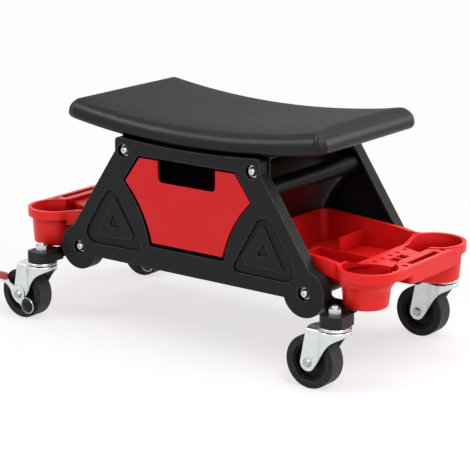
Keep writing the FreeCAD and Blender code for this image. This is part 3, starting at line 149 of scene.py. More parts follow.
def make_floor():
    mesh = bpy.data.meshes.new("floor")
    half = FLOOR_HALF
    mesh.from_pydata([(-half, -half, 0), (half, -half, 0), (half, half, 0), (-half, half, 0)], [],
                     [(0, 1, 2, 3)])
    floor = bpy.data.objects.new("floor", mesh)
    bpy.context.scene.collection.objects.link(floor)
    material = bpy.data.materials.new("floor_white")
    material.use_nodes = True
    tree = material.node_tree
    tree.nodes.clear()
    matt = node_at(tree, "ShaderNodeBsdfDiffuse")
    matt.inputs["Color"].default_value = (*FLOOR_COLOUR, 1)
    glow = node_at(tree, "ShaderNodeEmission")
    glow.inputs["Color"].default_value = (*FLOOR_WHITE, 1)
    # The floor shows its shadow near the seat and turns to plain white away from it
    place = node_at(tree, "ShaderNodeTexCoord")
    away = node_at(tree, "ShaderNodeVectorMath", operation="LENGTH")
    clear = node_at(tree, "ShaderNodeMapRange", interpolation_type="SMOOTHSTEP")
    for name, number in (("From Min", FLOOR_CLEAR_FROM), ("From Max", FLOOR_CLEAR_TO),
                         ("To Min", FLOOR_GLOW_SHARE), ("To Max", 1.0)):
        clear.inputs[name].default_value = number
    tree.links.new(place.outputs["Object"], away.inputs[0])
    tree.links.new(away.outputs["Value"], clear.inputs["Value"])
    share = node_at(tree, "ShaderNodeMath", operation="MULTIPLY")
    tree.links.new(clear.outputs["Result"], share.inputs[1])
    mix = node_at(tree, "ShaderNodeMixShader")
    out = node_at(tree, "ShaderNodeOutputMaterial")
    tree.links.new(sees_background(tree), share.inputs[0])
    tree.links.new(share.outputs[0], mix.inputs["Fac"])
    tree.links.new(matt.outputs[0], mix.inputs[1])
    tree.links.new(glow.outputs[0], mix.inputs[2])
    tree.links.new(mix.outputs[0], out.inputs["Surface"])
    mesh.materials.append(material)


def make_lights():
    for name, place, size, power in LAMPS:
        data = bpy.data.lights.new(name, "AREA")
        data.shape = "DISK"
        data.size = size
        data.energy = power
        obj = bpy.data.objects.new(name, data)
        bpy.context.scene.collection.objects.link(obj)
        obj.location = place
        aim(obj, LAMP_TARGET)


# Finishes

# The middle values of a noise, between which a finish goes from one state to the other
NOISE_MIDDLE = (0.3, 0.7)
# The cosine between a face's normal and its rounded one, on an open face and on a sharp edge
EDGE_COSINES = (0.99, 0.86)
SHADER_SAMPLES = 6


class Finish:
    """A principled material with its texture coordinates, built up step by step."""

    def __init__(self, name, colour, roughness, metallic=0.0, specular=0.5):
        self.material = bpy.data.materials.new(name)
        self.material.use_nodes = True
        self.tree = self.material.node_tree
        self.tree.nodes.clear()
        self.shader = node_at(self.tree, "ShaderNodeBsdfPrincipled")
        self.shader.inputs["Base Color"].default_value = (*colour, 1)
        self.shader.inputs["Roughness"].default_value = roughness
        self.shader.inputs["Metallic"].default_value = metallic
        self.shader.inputs["Specular IOR Level"].default_value = specular
        out = node_at(self.tree, "ShaderNodeOutputMaterial")
        self.tree.links.new(self.shader.outputs[0], out.inputs["Surface"])
        self.place = node_at(self.tree, "ShaderNodeTexCoord").outputs["Object"]
        self.material.diffuse_color = (*colour, 1)

    def link(self, source, target):
        self.tree.links.new(source, target)

    def noise(self, per_metre, detail=4.0, roughness=0.5, stretch=None):
        """A noise with so many features per metre."""
        texture = node_at(self.tree, "ShaderNodeTexNoise")
        texture.inputs["Scale"].default_value = per_metre
        texture.inputs["Detail"].default_value = detail
        texture.inputs["Roughness"].default_value = roughness
        place = self.place
        if stretch is not None:
            mapping = node_at(self.tree, "ShaderNodeMapping")
            mapping.inputs["Scale"].default_value = stretch
            self.link(place, mapping.inputs["Vector"])
            place = mapping.outputs[0]
        self.link(place, texture.inputs["Vector"])
        return texture.outputs["Fac"]

    def cells(self, per_metre):
        """The distance from the edges of a net of cells, with so many cells per metre."""
        texture = node_at(self.tree, "ShaderNodeTexVoronoi", feature="DISTANCE_TO_EDGE")
        texture.inputs["Scale"].default_value = per_metre
        self.link(self.place, texture.inputs["Vector"])
        return texture.outputs["Distance"]

    def spread(self, value, source, target):
        """Map one range of values onto another, held at its ends."""
        ramp = node_at(self.tree, "ShaderNodeMapRange")
        for name, number in zip(("From Min", "From Max", "To Min", "To Max"), source + target):
            ramp.inputs[name].default_value = number
        self.link(value, ramp.inputs["Value"])
        return ramp.outputs["Result"]

    def blend(self, share, start, end):
        """A number that goes from a start to an end as a share goes from nought to one."""
        return self.spread(share, (0, 1), (start, end))

    def maths(self, operation, first, second):
        node = node_at(self.tree, "ShaderNodeMath", operation=operation)
        for index, value in enumerate((first, second)):
            if isinstance(value, (int, float)):
                node.inputs[index].default_value = value
            else:
                self.link(value, node.inputs[index])
        return node.outputs[0]

    def mixed(self, first, second, share):
        """A share of one value plus the rest of another."""
        part = self.maths("MULTIPLY", first, share)
        rest = self.maths("MULTIPLY", second, 1 - share)
        return self.maths("ADD", part, rest)

    def colours(self, factor, first, second):
        mix = node_at(self.tree, "ShaderNodeMix", data_type="RGBA")
        self.link(factor, mix.inputs["Factor"])
        for socket, colour in ((mix.inputs[6], first), (mix.inputs[7], second)):
            if isinstance(colour, tuple):
                socket.default_value = (*colour, 1)
            else:
                self.link(colour, socket)
        return mix.outputs[2]

    def colour(self, source):
        self.link(source, self.shader.inputs["Base Color"])

    def specular(self, source):
        self.link(source, self.shader.inputs["Specular IOR Level"])

    def roughness(self, source):
        self.link(source, self.shader.inputs["Roughness"])

    def uneven(self, noise, smooth, rough):
        """Let the roughness follow a noise between a smooth and a rough value."""
        self.roughness(self.spread(noise, NOISE_MIDDLE, (smooth, rough)))

    def edges(self, width):
        """Nearly one on a sharp edge and nought on an open face."""
        bevel = node_at(self.tree, "ShaderNodeBevel", samples=SHADER_SAMPLES)
        bevel.inputs["Radius"].default_value = width
        geometry = node_at(self.tree, "ShaderNodeNewGeometry")
        dot = node_at(self.tree, "ShaderNodeVectorMath", operation="DOT_PRODUCT")
        self.link(bevel.outputs[0], dot.inputs[0])
        self.link(geometry.outputs["Normal"], dot.inputs[1])
        return self.spread(dot.outputs["Value"], EDGE_COSINES, (0, 1))

    def crevice(self, reach, full_shade, open_from):
        """One on an open face and nought far into a hollow, from ambient occlusion: the mask for painted
        shade.
        """
        shade = node_at(self.tree, "ShaderNodeAmbientOcclusion", samples=SHADER_SAMPLES)
        shade.inputs["Distance"].default_value = reach
        return self.spread(shade.outputs["AO"], (full_shade, open_from), (0, 1))

    def normal_part(self, axis):
        """The size of one part of the object's own normal."""
        split = node_at(self.tree, "ShaderNodeSeparateXYZ")
        self.link(node_at(self.tree, "ShaderNodeTexCoord").outputs["Normal"], split.inputs[0])
        return self.maths("ABSOLUTE", split.outputs[axis], 0)

    def bump(self, *heights):
        """Stack bumps, each a height with its depth in metres."""
        normal = None
        for height, depth in heights:
            bump = node_at(self.tree, "ShaderNodeBump")
            bump.inputs["Strength"].default_value = 1
            bump.inputs["Distance"].default_value = depth
            self.link(height, bump.inputs["Height"])
            if normal is not None:
                self.link(normal, bump.inputs["Normal"])
            normal = bump.outputs[0]
        self.link(normal, self.shader.inputs["Normal"])


def panel_plastic():
    """Black moulded plastic: a fine spark-eroded grain, a painted highlight in patches on its edges, and
    painted shade in its grooves.
    """
    dark = (0.0065, 0.0065, 0.0069)
    light = (0.0120, 0.0120, 0.0120)
    # Lighter colour on sharp edges, in patches like rubbing: a painted edge highlight
    rubbed_and_lit = (0.13, 0.13, 0.132)
    # Near-black colour in grooves and hollows: painted shade
    groove_shade = (0.0025, 0.0025, 0.0028)
    rub_and_highlight_width = 1.6 * MM
    groove_shade_reach = 11 * MM
    wave_depth = 0.18 * MM
    grain_depth = 0.06 * MM
    coat = Finish("panel_plastic", (0.012, 0.012, 0.0125), 0.5, specular=0.15)
    cloud = coat.noise(28, 3)
    patches = coat.spread(coat.noise(160, 3), (0.35, 0.65), (0.45, 1.0))
    rub_and_highlight = coat.maths("MULTIPLY", coat.edges(rub_and_highlight_width), patches)
    body = coat.colours(rub_and_highlight, coat.colours(cloud, dark, light), rubbed_and_lit)
    # Painted shade: the colour and the shine drop where ambient occlusion finds a hollow
    open_face = coat.crevice(groove_shade_reach, 0.5, 0.96)
    coat.colour(coat.colours(open_face, groove_shade, body))
    coat.specular(coat.blend(open_face, 0.02, 0.16))
    coat.uneven(cloud, 0.44, 0.56)
    coat.bump((coat.noise(36, 2), wave_depth), (coat.noise(2100, 3, 0.6), grain_depth))
    return coat.material


def red_plastic():
    """Glossy red moulded plastic: slow colour changes, a faint orange peel, lighter edges that are partly
    wear and partly a painted highlight, and painted shade in its depths.
    """
    dark = (0.67, 0.008, 0.009)
    light = (0.77, 0.014, 0.012)
    # Lighter edges: partly rubbed wear, partly a painted edge highlight
    rubbed_and_lit = (0.92, 0.075, 0.045)
    # Dark red in hollows and under things: painted shade
    full_shade = (0.36, 0.002, 0.003)
    rub_and_highlight_width = 1.2 * MM
    shade_reach = 70 * MM
    wave_depth = 0.3 * MM
    peel_depth = 0.03 * MM
    coat = Finish("red_plastic", (0.72, 0.012, 0.010), 0.32, specular=0.24)
    rub_and_highlight = coat.blend(coat.edges(rub_and_highlight_width), 0, 0.35)
    body = coat.colours(rub_and_highlight, coat.colours(coat.noise(16, 3), dark, light), rubbed_and_lit)
    # Painted shade: colour and shine drop with ambient occlusion over a long reach
    open_face = coat.crevice(shade_reach, 0.30, 0.72)
    coat.colour(coat.colours(open_face, full_shade, body))
    coat.specular(coat.blend(open_face, 0.06, 0.24))
    coat.uneven(coat.noise(60, 3), 0.30, 0.42)
    coat.bump((coat.noise(30, 2), wave_depth), (coat.noise(420, 2, 0.4), peel_depth))
    return coat.material


def drawer_plastic():
    """The drawer: a fine matt red on both end plates, and a nearly black dark red on its body between
    them, partly its own colour and partly painted shade.
    """
    dark = (0.56, 0.007, 0.009)
    light = (0.65, 0.011, 0.013)
    # Lighter edges: partly rubbed wear, partly a painted edge highlight
    rubbed_and_lit = (0.86, 0.07, 0.055)
    # Nearly black dark red on the body between the plates: partly its own colour, partly painted shade for
    # the dark under the seat
    dark_and_shaded_tub = (0.032, 0.007, 0.006)
    plate_thick = 3.2 * MM
    rub_and_highlight_width = 1.2 * MM
    wave_depth = 0.3 * MM
    grain_depth = 0.04 * MM
    coat = Finish("drawer_plastic", (0.63, 0.012, 0.014), 0.42, specular=0.22)
    rub_and_highlight = coat.blend(coat.edges(rub_and_highlight_width), 0, 0.3)
    front = coat.colours(rub_and_highlight, coat.colours(coat.noise(14, 3), dark, light), rubbed_and_lit)
    low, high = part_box("drawer")
    middle = (low.y + high.y) / 2
    split = node_at(coat.tree, "ShaderNodeSeparateXYZ")
    coat.link(coat.place, split.inputs[0])
    from_middle = coat.maths("ABSOLUTE", coat.maths("SUBTRACT", split.outputs["Y"], middle), 0)
    plate = coat.maths("GREATER_THAN", from_middle, high.y - middle - plate_thick)
    # Painted shade: the body between the plates takes the nearly black colour
    coat.colour(coat.colours(plate, dark_and_shaded_tub, front))
    coat.uneven(coat.noise(70, 3), 0.36, 0.48)
    coat.bump((coat.noise(24, 2), wave_depth), (coat.noise(1500, 3, 0.6), grain_depth))
    return coat.material


def frame_steel(name="frame_steel", shine=0.24):
    """Black powder coat: a small orange peel with a soft gloss, lighter edges that are partly wear and
    partly a painted highlight, and painted shade far in under things.
    """
    dark = (0.006, 0.006, 0.0065)
    light = (0.011, 0.011, 0.0115)
    # Lighter edges: partly rubbed wear, partly a painted edge highlight
    rubbed_and_lit = (0.12, 0.12, 0.12)
    # Near-black colour far in under things: painted shade
    full_shade = (0.004, 0.004, 0.0043)
    rub_and_highlight_width = 0.9 * MM
    shade_reach = 90 * MM
    peel_depth = 0.09 * MM
    coat = Finish(name, (0.012, 0.012, 0.013), 0.4)
    patches = coat.spread(coat.noise(220, 4), (0.45, 0.7), (0, 1))
    rub_and_highlight = coat.maths("MULTIPLY", coat.edges(rub_and_highlight_width), patches)
    body = coat.colours(rub_and_highlight, coat.colours(coat.noise(40, 3), dark, light), rubbed_and_lit)
    # Painted shade: colour and shine drop with ambient occlusion over a long reach
    open_face = coat.crevice(shade_reach, 0.35, 0.85)
    coat.colour(coat.colours(open_face, full_shade, body))
    coat.specular(coat.blend(open_face, 0.04, shine))
    coat.uneven(coat.noise(90, 4), 0.30, 0.44)
    coat.bump((coat.noise(520, 2, 0.4), peel_depth))
    return coat.material


def shaded_tube_steel():
    """The upper tubes' black coat with weaker reflections: painted shade for the shadow that they lie in.
    """
    return frame_steel("shaded_tube_steel", 0.10)


def zinc(name="zinc", tint=(0.70, 0.735, 0.745)):
    """Zinc plate of some tint, bright and bluish by default, with drawn streaks and dull patches."""
    dull = tuple(0.80 * channel for channel in tint)
    bright = tuple(min(1.0, 1.16 * channel) for channel in tint)
    streak_stretch = (1.0, 1.0, 0.06)
    wave_depth = 0.22 * MM
    streak_depth = 0.02 * MM
    coat = Finish(name, tint, 0.27, metallic=1.0)
    patches = coat.noise(75, 4, 0.6)
    coat.colour(coat.colours(patches, dull, bright))
    streaks = coat.noise(900, 3, 0.6, streak_stretch)
    coat.uneven(coat.mixed(streaks, patches, 0.5), 0.26, 0.44)
    coat.bump((coat.noise(110, 3), wave_depth), (streaks, streak_depth))
    return coat.material


def bolt_zinc():
    """The wheel bolts' duller zinc."""
    return zinc("bolt_zinc", (0.44, 0.455, 0.46))


def dark_zinc():
    """Black chromated zinc with a low shine."""
    return zinc("dark_zinc", (0.026, 0.028, 0.034))


def tyre_rubber():
    """Dull black rubber, dusty and worn grey-brown where it runs."""
    side_dark = (0.012, 0.0115, 0.011)
    side_dusty = (0.026, 0.024, 0.022)
    tread_dark = (0.022, 0.0215, 0.021)
    tread_worn = (0.060, 0.057, 0.055)
    grain_depth = 0.08 * MM
    coat = Finish("tyre_rubber", (0.020, 0.019, 0.018), 0.62, specular=0.18)
    dust = coat.spread(coat.noise(120, 5, 0.6), (0.4, 0.72), (0, 1))
    side = coat.colours(dust, side_dark, side_dusty)
    tread = coat.colours(coat.noise(420, 4, 0.6), tread_dark, tread_worn)
    on_side = coat.spread(coat.normal_part("Y"), (0.22, 0.5), (0, 1))
    coat.colour(coat.colours(on_side, tread, side))
    coat.uneven(coat.noise(200, 4), 0.52, 0.72)
    coat.bump((coat.noise(700, 4, 0.6), grain_depth))
    return coat.material


def wheel_plastic():
    """Black nylon wheel body with a slight sheen."""
    dark = (0.003, 0.003, 0.003)
    light = (0.009, 0.009, 0.009)
    grain_depth = 0.04 * MM
    coat = Finish("wheel_plastic", (0.006, 0.006, 0.006), 0.42, specular=0.12)
    coat.colour(coat.colours(coat.noise(90, 4), dark, light))
    coat.uneven(coat.noise(150, 3), 0.36, 0.5)
    coat.bump((coat.noise(1200, 3), grain_depth))
    return coat.material


def pad_plastic():
    """The brake pad's soft dark red plastic, scuffed by shoes."""
    clean = (0.34, 0.026, 0.042)
    scuffed = (0.46, 0.12, 0.13)
    grain_depth = 0.05 * MM
    coat = Finish("pad_plastic", (0.34, 0.030, 0.045), 0.45)
    scuff = coat.spread(coat.noise(300, 5, 0.65), (0.52, 0.72), (0, 1))
    coat.colour(coat.colours(scuff, clean, scuffed))
    coat.roughness(coat.blend(scuff, 0.4, 0.62))
    coat.bump((coat.noise(900, 3), grain_depth))
    return coat.material


def plywood():
    """Dark-stained board under the seat, with long grain."""
    dark = (0.020, 0.016, 0.013)
    light = (0.060, 0.046, 0.034)
    grain_stretch = (1.0, 14.0, 3.0)
    grain_depth = 0.2 * MM
    coat = Finish("seat_board", (0.035, 0.027, 0.021), 0.68, specular=0.3)
    fibre = coat.noise(60, 5, 0.65, grain_stretch)
    coat.colour(coat.colours(fibre, dark, light))
    coat.uneven(fibre, 0.6, 0.8)
    coat.bump((fibre, grain_depth))
    return coat.material


def vinyl():
    """Black upholstery vinyl: a matt pebbled top, and a smoother pulled band round the sides, darker in
    colour as painted shade.
    """
    valley = (0.006, 0.006, 0.007)
    hill = (0.011, 0.011, 0.0122)
    worn = (0.014, 0.014, 0.0155)
    # The sides' darker colour: painted shade, as the sides catch less light than the top
    side = (0.0035, 0.0035, 0.0042)
    crease_shade_reach = 9 * MM
    wave_depth = 0.25 * MM
    pebble_depth = 0.10 * MM
    fine_depth = 0.02 * MM
    coat = Finish("seat_vinyl", (0.014, 0.014, 0.015), 0.55, specular=0.17)
    pebble = coat.spread(coat.cells(620), (0, 0.22), (0, 1))
    fine = coat.noise(2600, 3, 0.55)
    cloud = coat.noise(13, 4, 0.55)
    on_top = coat.spread(coat.normal_part("Z"), (0.72, 0.93), (0, 1))
    wear = coat.spread(cloud, (0.35, 0.65), (0, 0.5))
    top = coat.colours(wear, coat.colours(pebble, valley, hill), worn)
    # Painted shade: the sides take the darker colour
    coat.colour(coat.colours(on_top, side, top))
    # Painted shade in the reflections: the shine drops in creases and hollows, by ambient occlusion
    open_face = coat.crevice(crease_shade_reach, 0.62, 0.97)
    coat.specular(coat.maths("MULTIPLY", open_face, coat.blend(on_top, 0.26, 0.17)))
    change = coat.spread(coat.mixed(cloud, fine, 0.6), (0.35, 0.65), (-0.04, 0.05))
    coat.roughness(coat.maths("ADD", change, coat.blend(on_top, 0.34, 0.62)))
    grain = coat.maths("MULTIPLY", pebble, coat.blend(on_top, 0.35, 1.0))
    coat.bump((coat.noise(45, 3), wave_depth), (grain, pebble_depth), (fine, fine_depth))
    return coat.material


MAKERS = {
    "panel_plastic": panel_plastic, "frame_steel": frame_steel, "red_plastic": red_plastic,
    "zinc": zinc, "seat_vinyl": vinyl, "seat_board": plywood, "tyre_rubber": tyre_rubber,
    "wheel_plastic": wheel_plastic, "pad_plastic": pad_plastic, "drawer_plastic": drawer_plastic,
    "shaded_tube_steel": shaded_tube_steel, "bolt_zinc": bolt_zinc, "dark_zinc": dark_zinc,
}
finishes = {}


def finish(name):
    """A finish's material, made the first time that it is asked for."""
    if name not in finishes:
        finishes[name] = MAKERS[name]()
    return finishes[name]


# Soft edges and shading on the solids

SMOOTH_ANGLE = math.radians(38)
WELD_DISTANCE = 0.002 * MM
FLAT_ANGLE = math.radians(0.3)
EDGE_ANGLE = math.radians(32)
EDGE_FACETS = 2
# How far the edges of each slot's solids are rounded, or None where they stay as they are
EDGE_WIDTHS = {
    "panel_plastic": 0.9 * MM, "frame_steel": 0.8 * MM, "red_plastic": 0.5 * MM, "zinc": 0.35 * MM,
    "seat_vinyl": None, "seat_board": 0.8 * MM, "tyre_rubber": 0.4 * MM, "wheel_plastic": 0.5 * MM,
    "pad_plastic": None,
}


def smooth_by_angle():
    """A modifier's node group that shades smooth except across sharp edges."""
    group = bpy.data.node_groups.new("smooth_by_angle", "GeometryNodeTree")
    group.interface.new_socket("Geometry", in_out="INPUT", socket_type="NodeSocketGeometry")
    group.interface.new_socket("Geometry", in_out="OUTPUT", socket_type="NodeSocketGeometry")
    inlet = node_at(group, "NodeGroupInput")
    outlet = node_at(group, "NodeGroupOutput")
    angle = node_at(group, "GeometryNodeInputMeshEdgeAngle")
    compare = node_at(group, "FunctionNodeCompare", data_type="FLOAT", operation="GREATER_THAN")
    compare.inputs["B"].default_value = SMOOTH_ANGLE
    faces = node_at(group, "GeometryNodeSetShadeSmooth", domain="FACE")
    edges = node_at(group, "GeometryNodeSetShadeSmooth", domain="EDGE")
    edges.inputs["Shade Smooth"].default_value = False
    group.links.new(inlet.outputs[0], faces.inputs["Geometry"])
    group.links.new(angle.outputs["Unsigned Angle"], compare.inputs["A"])
    group.links.new(compare.outputs["Result"], edges.inputs["Selection"])
    group.links.new(faces.outputs[0], edges.inputs["Geometry"])
    group.links.new(edges.outputs[0], outlet.inputs[0])
    return group


shading = smooth_by_angle()


def add_bevel(obj, width):
    """Round a piece's sharp edges with a modifier."""
    bevel = obj.modifiers.new("edges", "BEVEL")
    bevel.width = width
    bevel.segments = EDGE_FACETS
    bevel.limit_method = "ANGLE"
    bevel.angle_limit = EDGE_ANGLE
    return bevel


def add_shading(obj):
    """Shade a piece smooth except across its sharp edges."""
    smooth = obj.modifiers.new("smooth", "NODES")
    smooth.node_group = shading


def soften(obj, width):
    """Give a solid moulded edges: join its facets, round its edges and shade it."""
    weld = obj.modifiers.new("weld", "WELD")
    weld.merge_threshold = WELD_DISTANCE
    flat = obj.modifiers.new("flat", "DECIMATE")
    flat.decimate_type = "DISSOLVE"
    flat.angle_limit = FLAT_ANGLE
    if width:
        bevel = add_bevel(obj, width)
        bevel.use_clamp_overlap = True
        bevel.miter_outer = "MITER_ARC"
    add_shading(obj)
    normals = obj.modifiers.new("normals", "WEIGHTED_NORMAL")
    normals.keep_sharp = True


def look_of(name, slot):
    """The finish of a solid: its slot's own, or a variant that the photograph shows."""
    if name == "drawer":
        return "drawer_plastic"
    if name.endswith("_axle"):
        return "bolt_zinc"
    # The upper tubes take the black coat with weaker reflections: painted shade
    if name.startswith("upper_tube"):
        return "shaded_tube_steel"
    return slot


def dress_nodes():
    for part in frame["record"]["subparts"]:
        name = part["node"]
        slot = part["material_slot"]
        obj = nodes[name]
        obj.data.materials.clear()
        obj.data.materials.append(finish(look_of(name, slot)))
        soften(obj, EDGE_WIDTHS[slot])


# The upholstered cushion, in millimetres

# The bow's radius at the underside, and the underside's height in the middle of the seat
BOW_RADIUS = 1280.0
SEAT_FOOT_Z = 298.5
SEAT_HALF_LENGTH = 228.6
SEAT_HALF_WIDTH = 124.6
SEAT_CORNER = 14.0
LEAST_CORNER = 4.0
# How far both ends lean in at the top, and the height from which they do
END_LEAN = 4.4
END_LEAN_FROM = 10.0
END_LEAN_POWER = 2.5
# The height at which the seat's length is measured
BULGE_HEIGHT = 12.0
# Inset from the outline and height above the underside, from the top crease round to the board
SIDE_PROFILE = (
    (13.0, 28.9), (12.3, 28.8), (11.6, 28.4), (11.2, 27.7), (11.1, 27.0), (10.3, 26.4), (8.7, 25.5),
    (6.8, 24.2), (5.1, 22.4), (3.6, 20.2), (2.2, 17.6), (1.1, 14.6), (0.4, 11.4), (0.0, 8.0), (0.2, 4.9),
    (1.0, 2.0), (2.8, -0.6), (6.0, -2.3), (10.5, -2.9), (15.0, -2.8), (19.0, -1.8), (19.6, 2.0),
)
# At the two ends the crease is shallow, and the cover rolls over more softly below it
END_TOP = (
    (13.0, 28.9), (12.2, 28.85), (11.4, 28.7), (10.7, 28.4), (10.0, 28.0), (9.2, 27.5), (7.9, 26.5),
    (6.2, 24.9), (4.7, 22.9), (3.3, 20.5), (2.1, 17.8),
)
END_PROFILE = END_TOP + SIDE_PROFILE[len(END_TOP):]
LAST_RING = len(SIDE_PROFILE) - 1
# The rings at both edges of the crease, and the ring from which the cover is stapled to the board
CREASE_RINGS = (2, 5)
STAPLED_RING = 17
# The steps along a ring's sides, which crowd towards the corners, and round each corner
LONG_STEPS = 84
SHORT_STEPS = 44
CORNER_STEPS = 12
CORNER_CROWDING = 0.6
# The steps from the middle of one corner to the middle of the next, and all round
LONG_COUNT = LONG_STEPS + CORNER_STEPS
SHORT_COUNT = SHORT_STEPS + CORNER_STEPS
RING_COUNT = 2 * (SHORT_COUNT + LONG_COUNT)
# The top's crown, and how far the underside lies above the last ring
TOP_CROWN = 1.3
FOOT_RISE = 5.2
# The cloth simulation, and how far it can move a point at most
CLOTH_FRAMES = 20
CLOTH_PRESSURE = 4.0
CLOTH_STIFFNESS = 25
CLOTH_BENDING = 2.0
CLOTH_QUALITY = 5
TOP_CAP = 1.6
SIDE_CAP = 1.7
# The pleats at the corners: their depth, pitch and uneven spacing, how they fade out along the side
# and down it, and their first and last rings
GATHER_DEPTH = 2.4
GATHER_PITCH = 14.0
GATHER_REACH = 12.0
GATHER_END = 3 * GATHER_REACH
GATHER_SHIFT = 0.5
GATHER_SHIFT_RUN = 5.0
GATHER_FULLNESS = 0.6
GATHER_RINGS = (5, 18)


def end_lean(height):
    """How far the pad's two ends lean in at a height."""
    share = max(0.0, height - END_LEAN_FROM) / (SIDE_PROFILE[0][1] - END_LEAN_FROM)
    return END_LEAN * share ** END_LEAN_POWER


def ring(number):
    """A ring's points in plan, with heights, from the middle of one corner on to the same corner."""
    side_inset, side_height = SIDE_PROFILE[number]
    end_inset, end_height = END_PROFILE[number]
    radius = max(SEAT_CORNER - (side_inset + end_inset) / 2, LEAST_CORNER)
    x = SEAT_HALF_LENGTH - end_inset - end_lean(end_height) - radius
    y = SEAT_HALF_WIDTH - side_inset - radius
    centres = ((x, -y), (x, y), (-x, y), (-x, -y))
    steps = (SHORT_STEPS, LONG_STEPS, SHORT_STEPS, LONG_STEPS)
    half = CORNER_STEPS // 2
    points = []

    def add(centre, turn):
        height = side_height + (end_height - side_height) * math.cos(turn) ** 2
        points.append((centre[0] + radius * math.cos(turn), centre[1] + radius * math.sin(turn), height))

    for index, centre in enumerate(centres):
        after = centres[(index + 1) % len(centres)]
        for step in range(half + 1):
            add(centre, math.radians(90.0 * (index - 0.5 + step / CORNER_STEPS)))
        turn = math.radians(90.0 * index)
        for step in range(1, steps[index]):
            share = step / steps[index]
            share += CORNER_CROWDING * ((1 - math.cos(math.pi * share)) / 2 - share)
            add([low + (high - low) * share for low, high in zip(centre, after)], turn)
        for step in range(half):
            add(after, math.radians(90.0 * (index + step / CORNER_STEPS)))
    return points


def bowed(x, y, height):
    """Bend a flat place on the pad along the seat's bow, in metres."""
    turn = math.asin(x / (BOW_RADIUS - BULGE_HEIGHT))
    reach = BOW_RADIUS - height
    axis = SEAT_FOOT_Z + BOW_RADIUS
    return Vector((reach * math.sin(turn), y, axis - reach * math.cos(turn))) * MM


def patch(edge):
    """A grid that fills a closed ring: each of its points blends the four sides."""
    right = [edge[row] for row in range(SHORT_COUNT + 1)]
    top = [edge[SHORT_COUNT + column] for column in range(LONG_COUNT + 1)]
    left = [edge[2 * SHORT_COUNT + LONG_COUNT - row] for row in range(SHORT_COUNT + 1)]
    bottom = [edge[-column] for column in range(LONG_COUNT + 1)]
    grid = []
    for row in range(SHORT_COUNT + 1):
        up = row / SHORT_COUNT
        line = []
        for column in range(LONG_COUNT + 1):
            along = column / LONG_COUNT
            point = []
            for axis in (0, 1):
                sides = ((1 - up) * bottom[column][axis] + up * top[column][axis]
                         + (1 - along) * right[row][axis] + along * left[row][axis])
                corners = ((1 - along) * (1 - up) * bottom[0][axis] + along * (1 - up) * bottom[-1][axis]
                           + (1 - along) * up * top[0][axis] + along * up * top[-1][axis])
                point.append(sides - corners)
            line.append(tuple(point))
        grid.append(line)
    return grid


def crown(y):
    return TOP_CROWN * (1 - (y / SEAT_HALF_WIDTH) ** 2)


def ring_place(row, column):
    """The number along a ring of a grid's place on its edge, or None inside it."""
    if column == 0:
        return row
    if row == SHORT_COUNT:
        return SHORT_COUNT + column
    if column == LONG_COUNT:
        return 2 * SHORT_COUNT + LONG_COUNT - row
    if row == 0:
        return RING_COUNT - column
    return None


def fill_ring(vertices, parts, number, height, part):
    """Add the top or the underside inside a ring, and give its faces."""
    crowned = part == "top"
    grid = patch(ring(number))
    index = {}
    for row in range(SHORT_COUNT + 1):
        for column in range(LONG_COUNT + 1):
            place = ring_place(row, column)
            if place is not None:
                index[row, column] = number * RING_COUNT + place
                continue
            x, y = grid[row][column]
            index[row, column] = len(vertices)
            vertices.append(bowed(x, y, height + (crown(y) if crowned else 0.0)))
            parts.append(part)
    faces = []
    for row in range(SHORT_COUNT):
        for column in range(LONG_COUNT):
            quad = (index[row, column], index[row, column + 1], index[row + 1, column + 1],
                    index[row + 1, column])
            faces.append(quad[::-1] if crowned else quad)
    return faces


def pad_mesh():
    """The cushion's mesh with the part of each vertex: its ring's number, or top or foot inside them."""
    vertices = []
    parts = []
    faces = []
    for number in range(LAST_RING + 1):
        for x, y, height in ring(number):
            lift = crown(y) if number == 0 else 0.0
            vertices.append(bowed(x, y, height + lift))
            parts.append(number)
    for number in range(LAST_RING):
        base = number * RING_COUNT
        below = base + RING_COUNT
        for step in range(RING_COUNT):
            after = (step + 1) % RING_COUNT
            faces.append((base + step, below + step, below + after, base + after))
    faces += fill_ring(vertices, parts, 0, SIDE_PROFILE[0][1], "top")
    faces += fill_ring(vertices, parts, LAST_RING, SIDE_PROFILE[LAST_RING][1] + FOOT_RISE, "foot")
    mesh = bpy.data.meshes.new("seat_pad")
    mesh.from_pydata(vertices, [], faces)
    mesh.update()
    return mesh, parts


def evaluated_places(obj):
    graph = bpy.context.evaluated_depsgraph_get()
    shown = obj.evaluated_get(graph)
    mesh = shown.to_mesh()
    places = [vertex.co.copy() for vertex in mesh.vertices]
    shown.to_mesh_clear()
    return places


def is_fixed(part):
    """Whether a point is held: in a crease, or where the cover is stapled under the board."""
    return part == "foot" or part in CREASE_RINGS or (isinstance(part, int) and part >= STAPLED_RING)


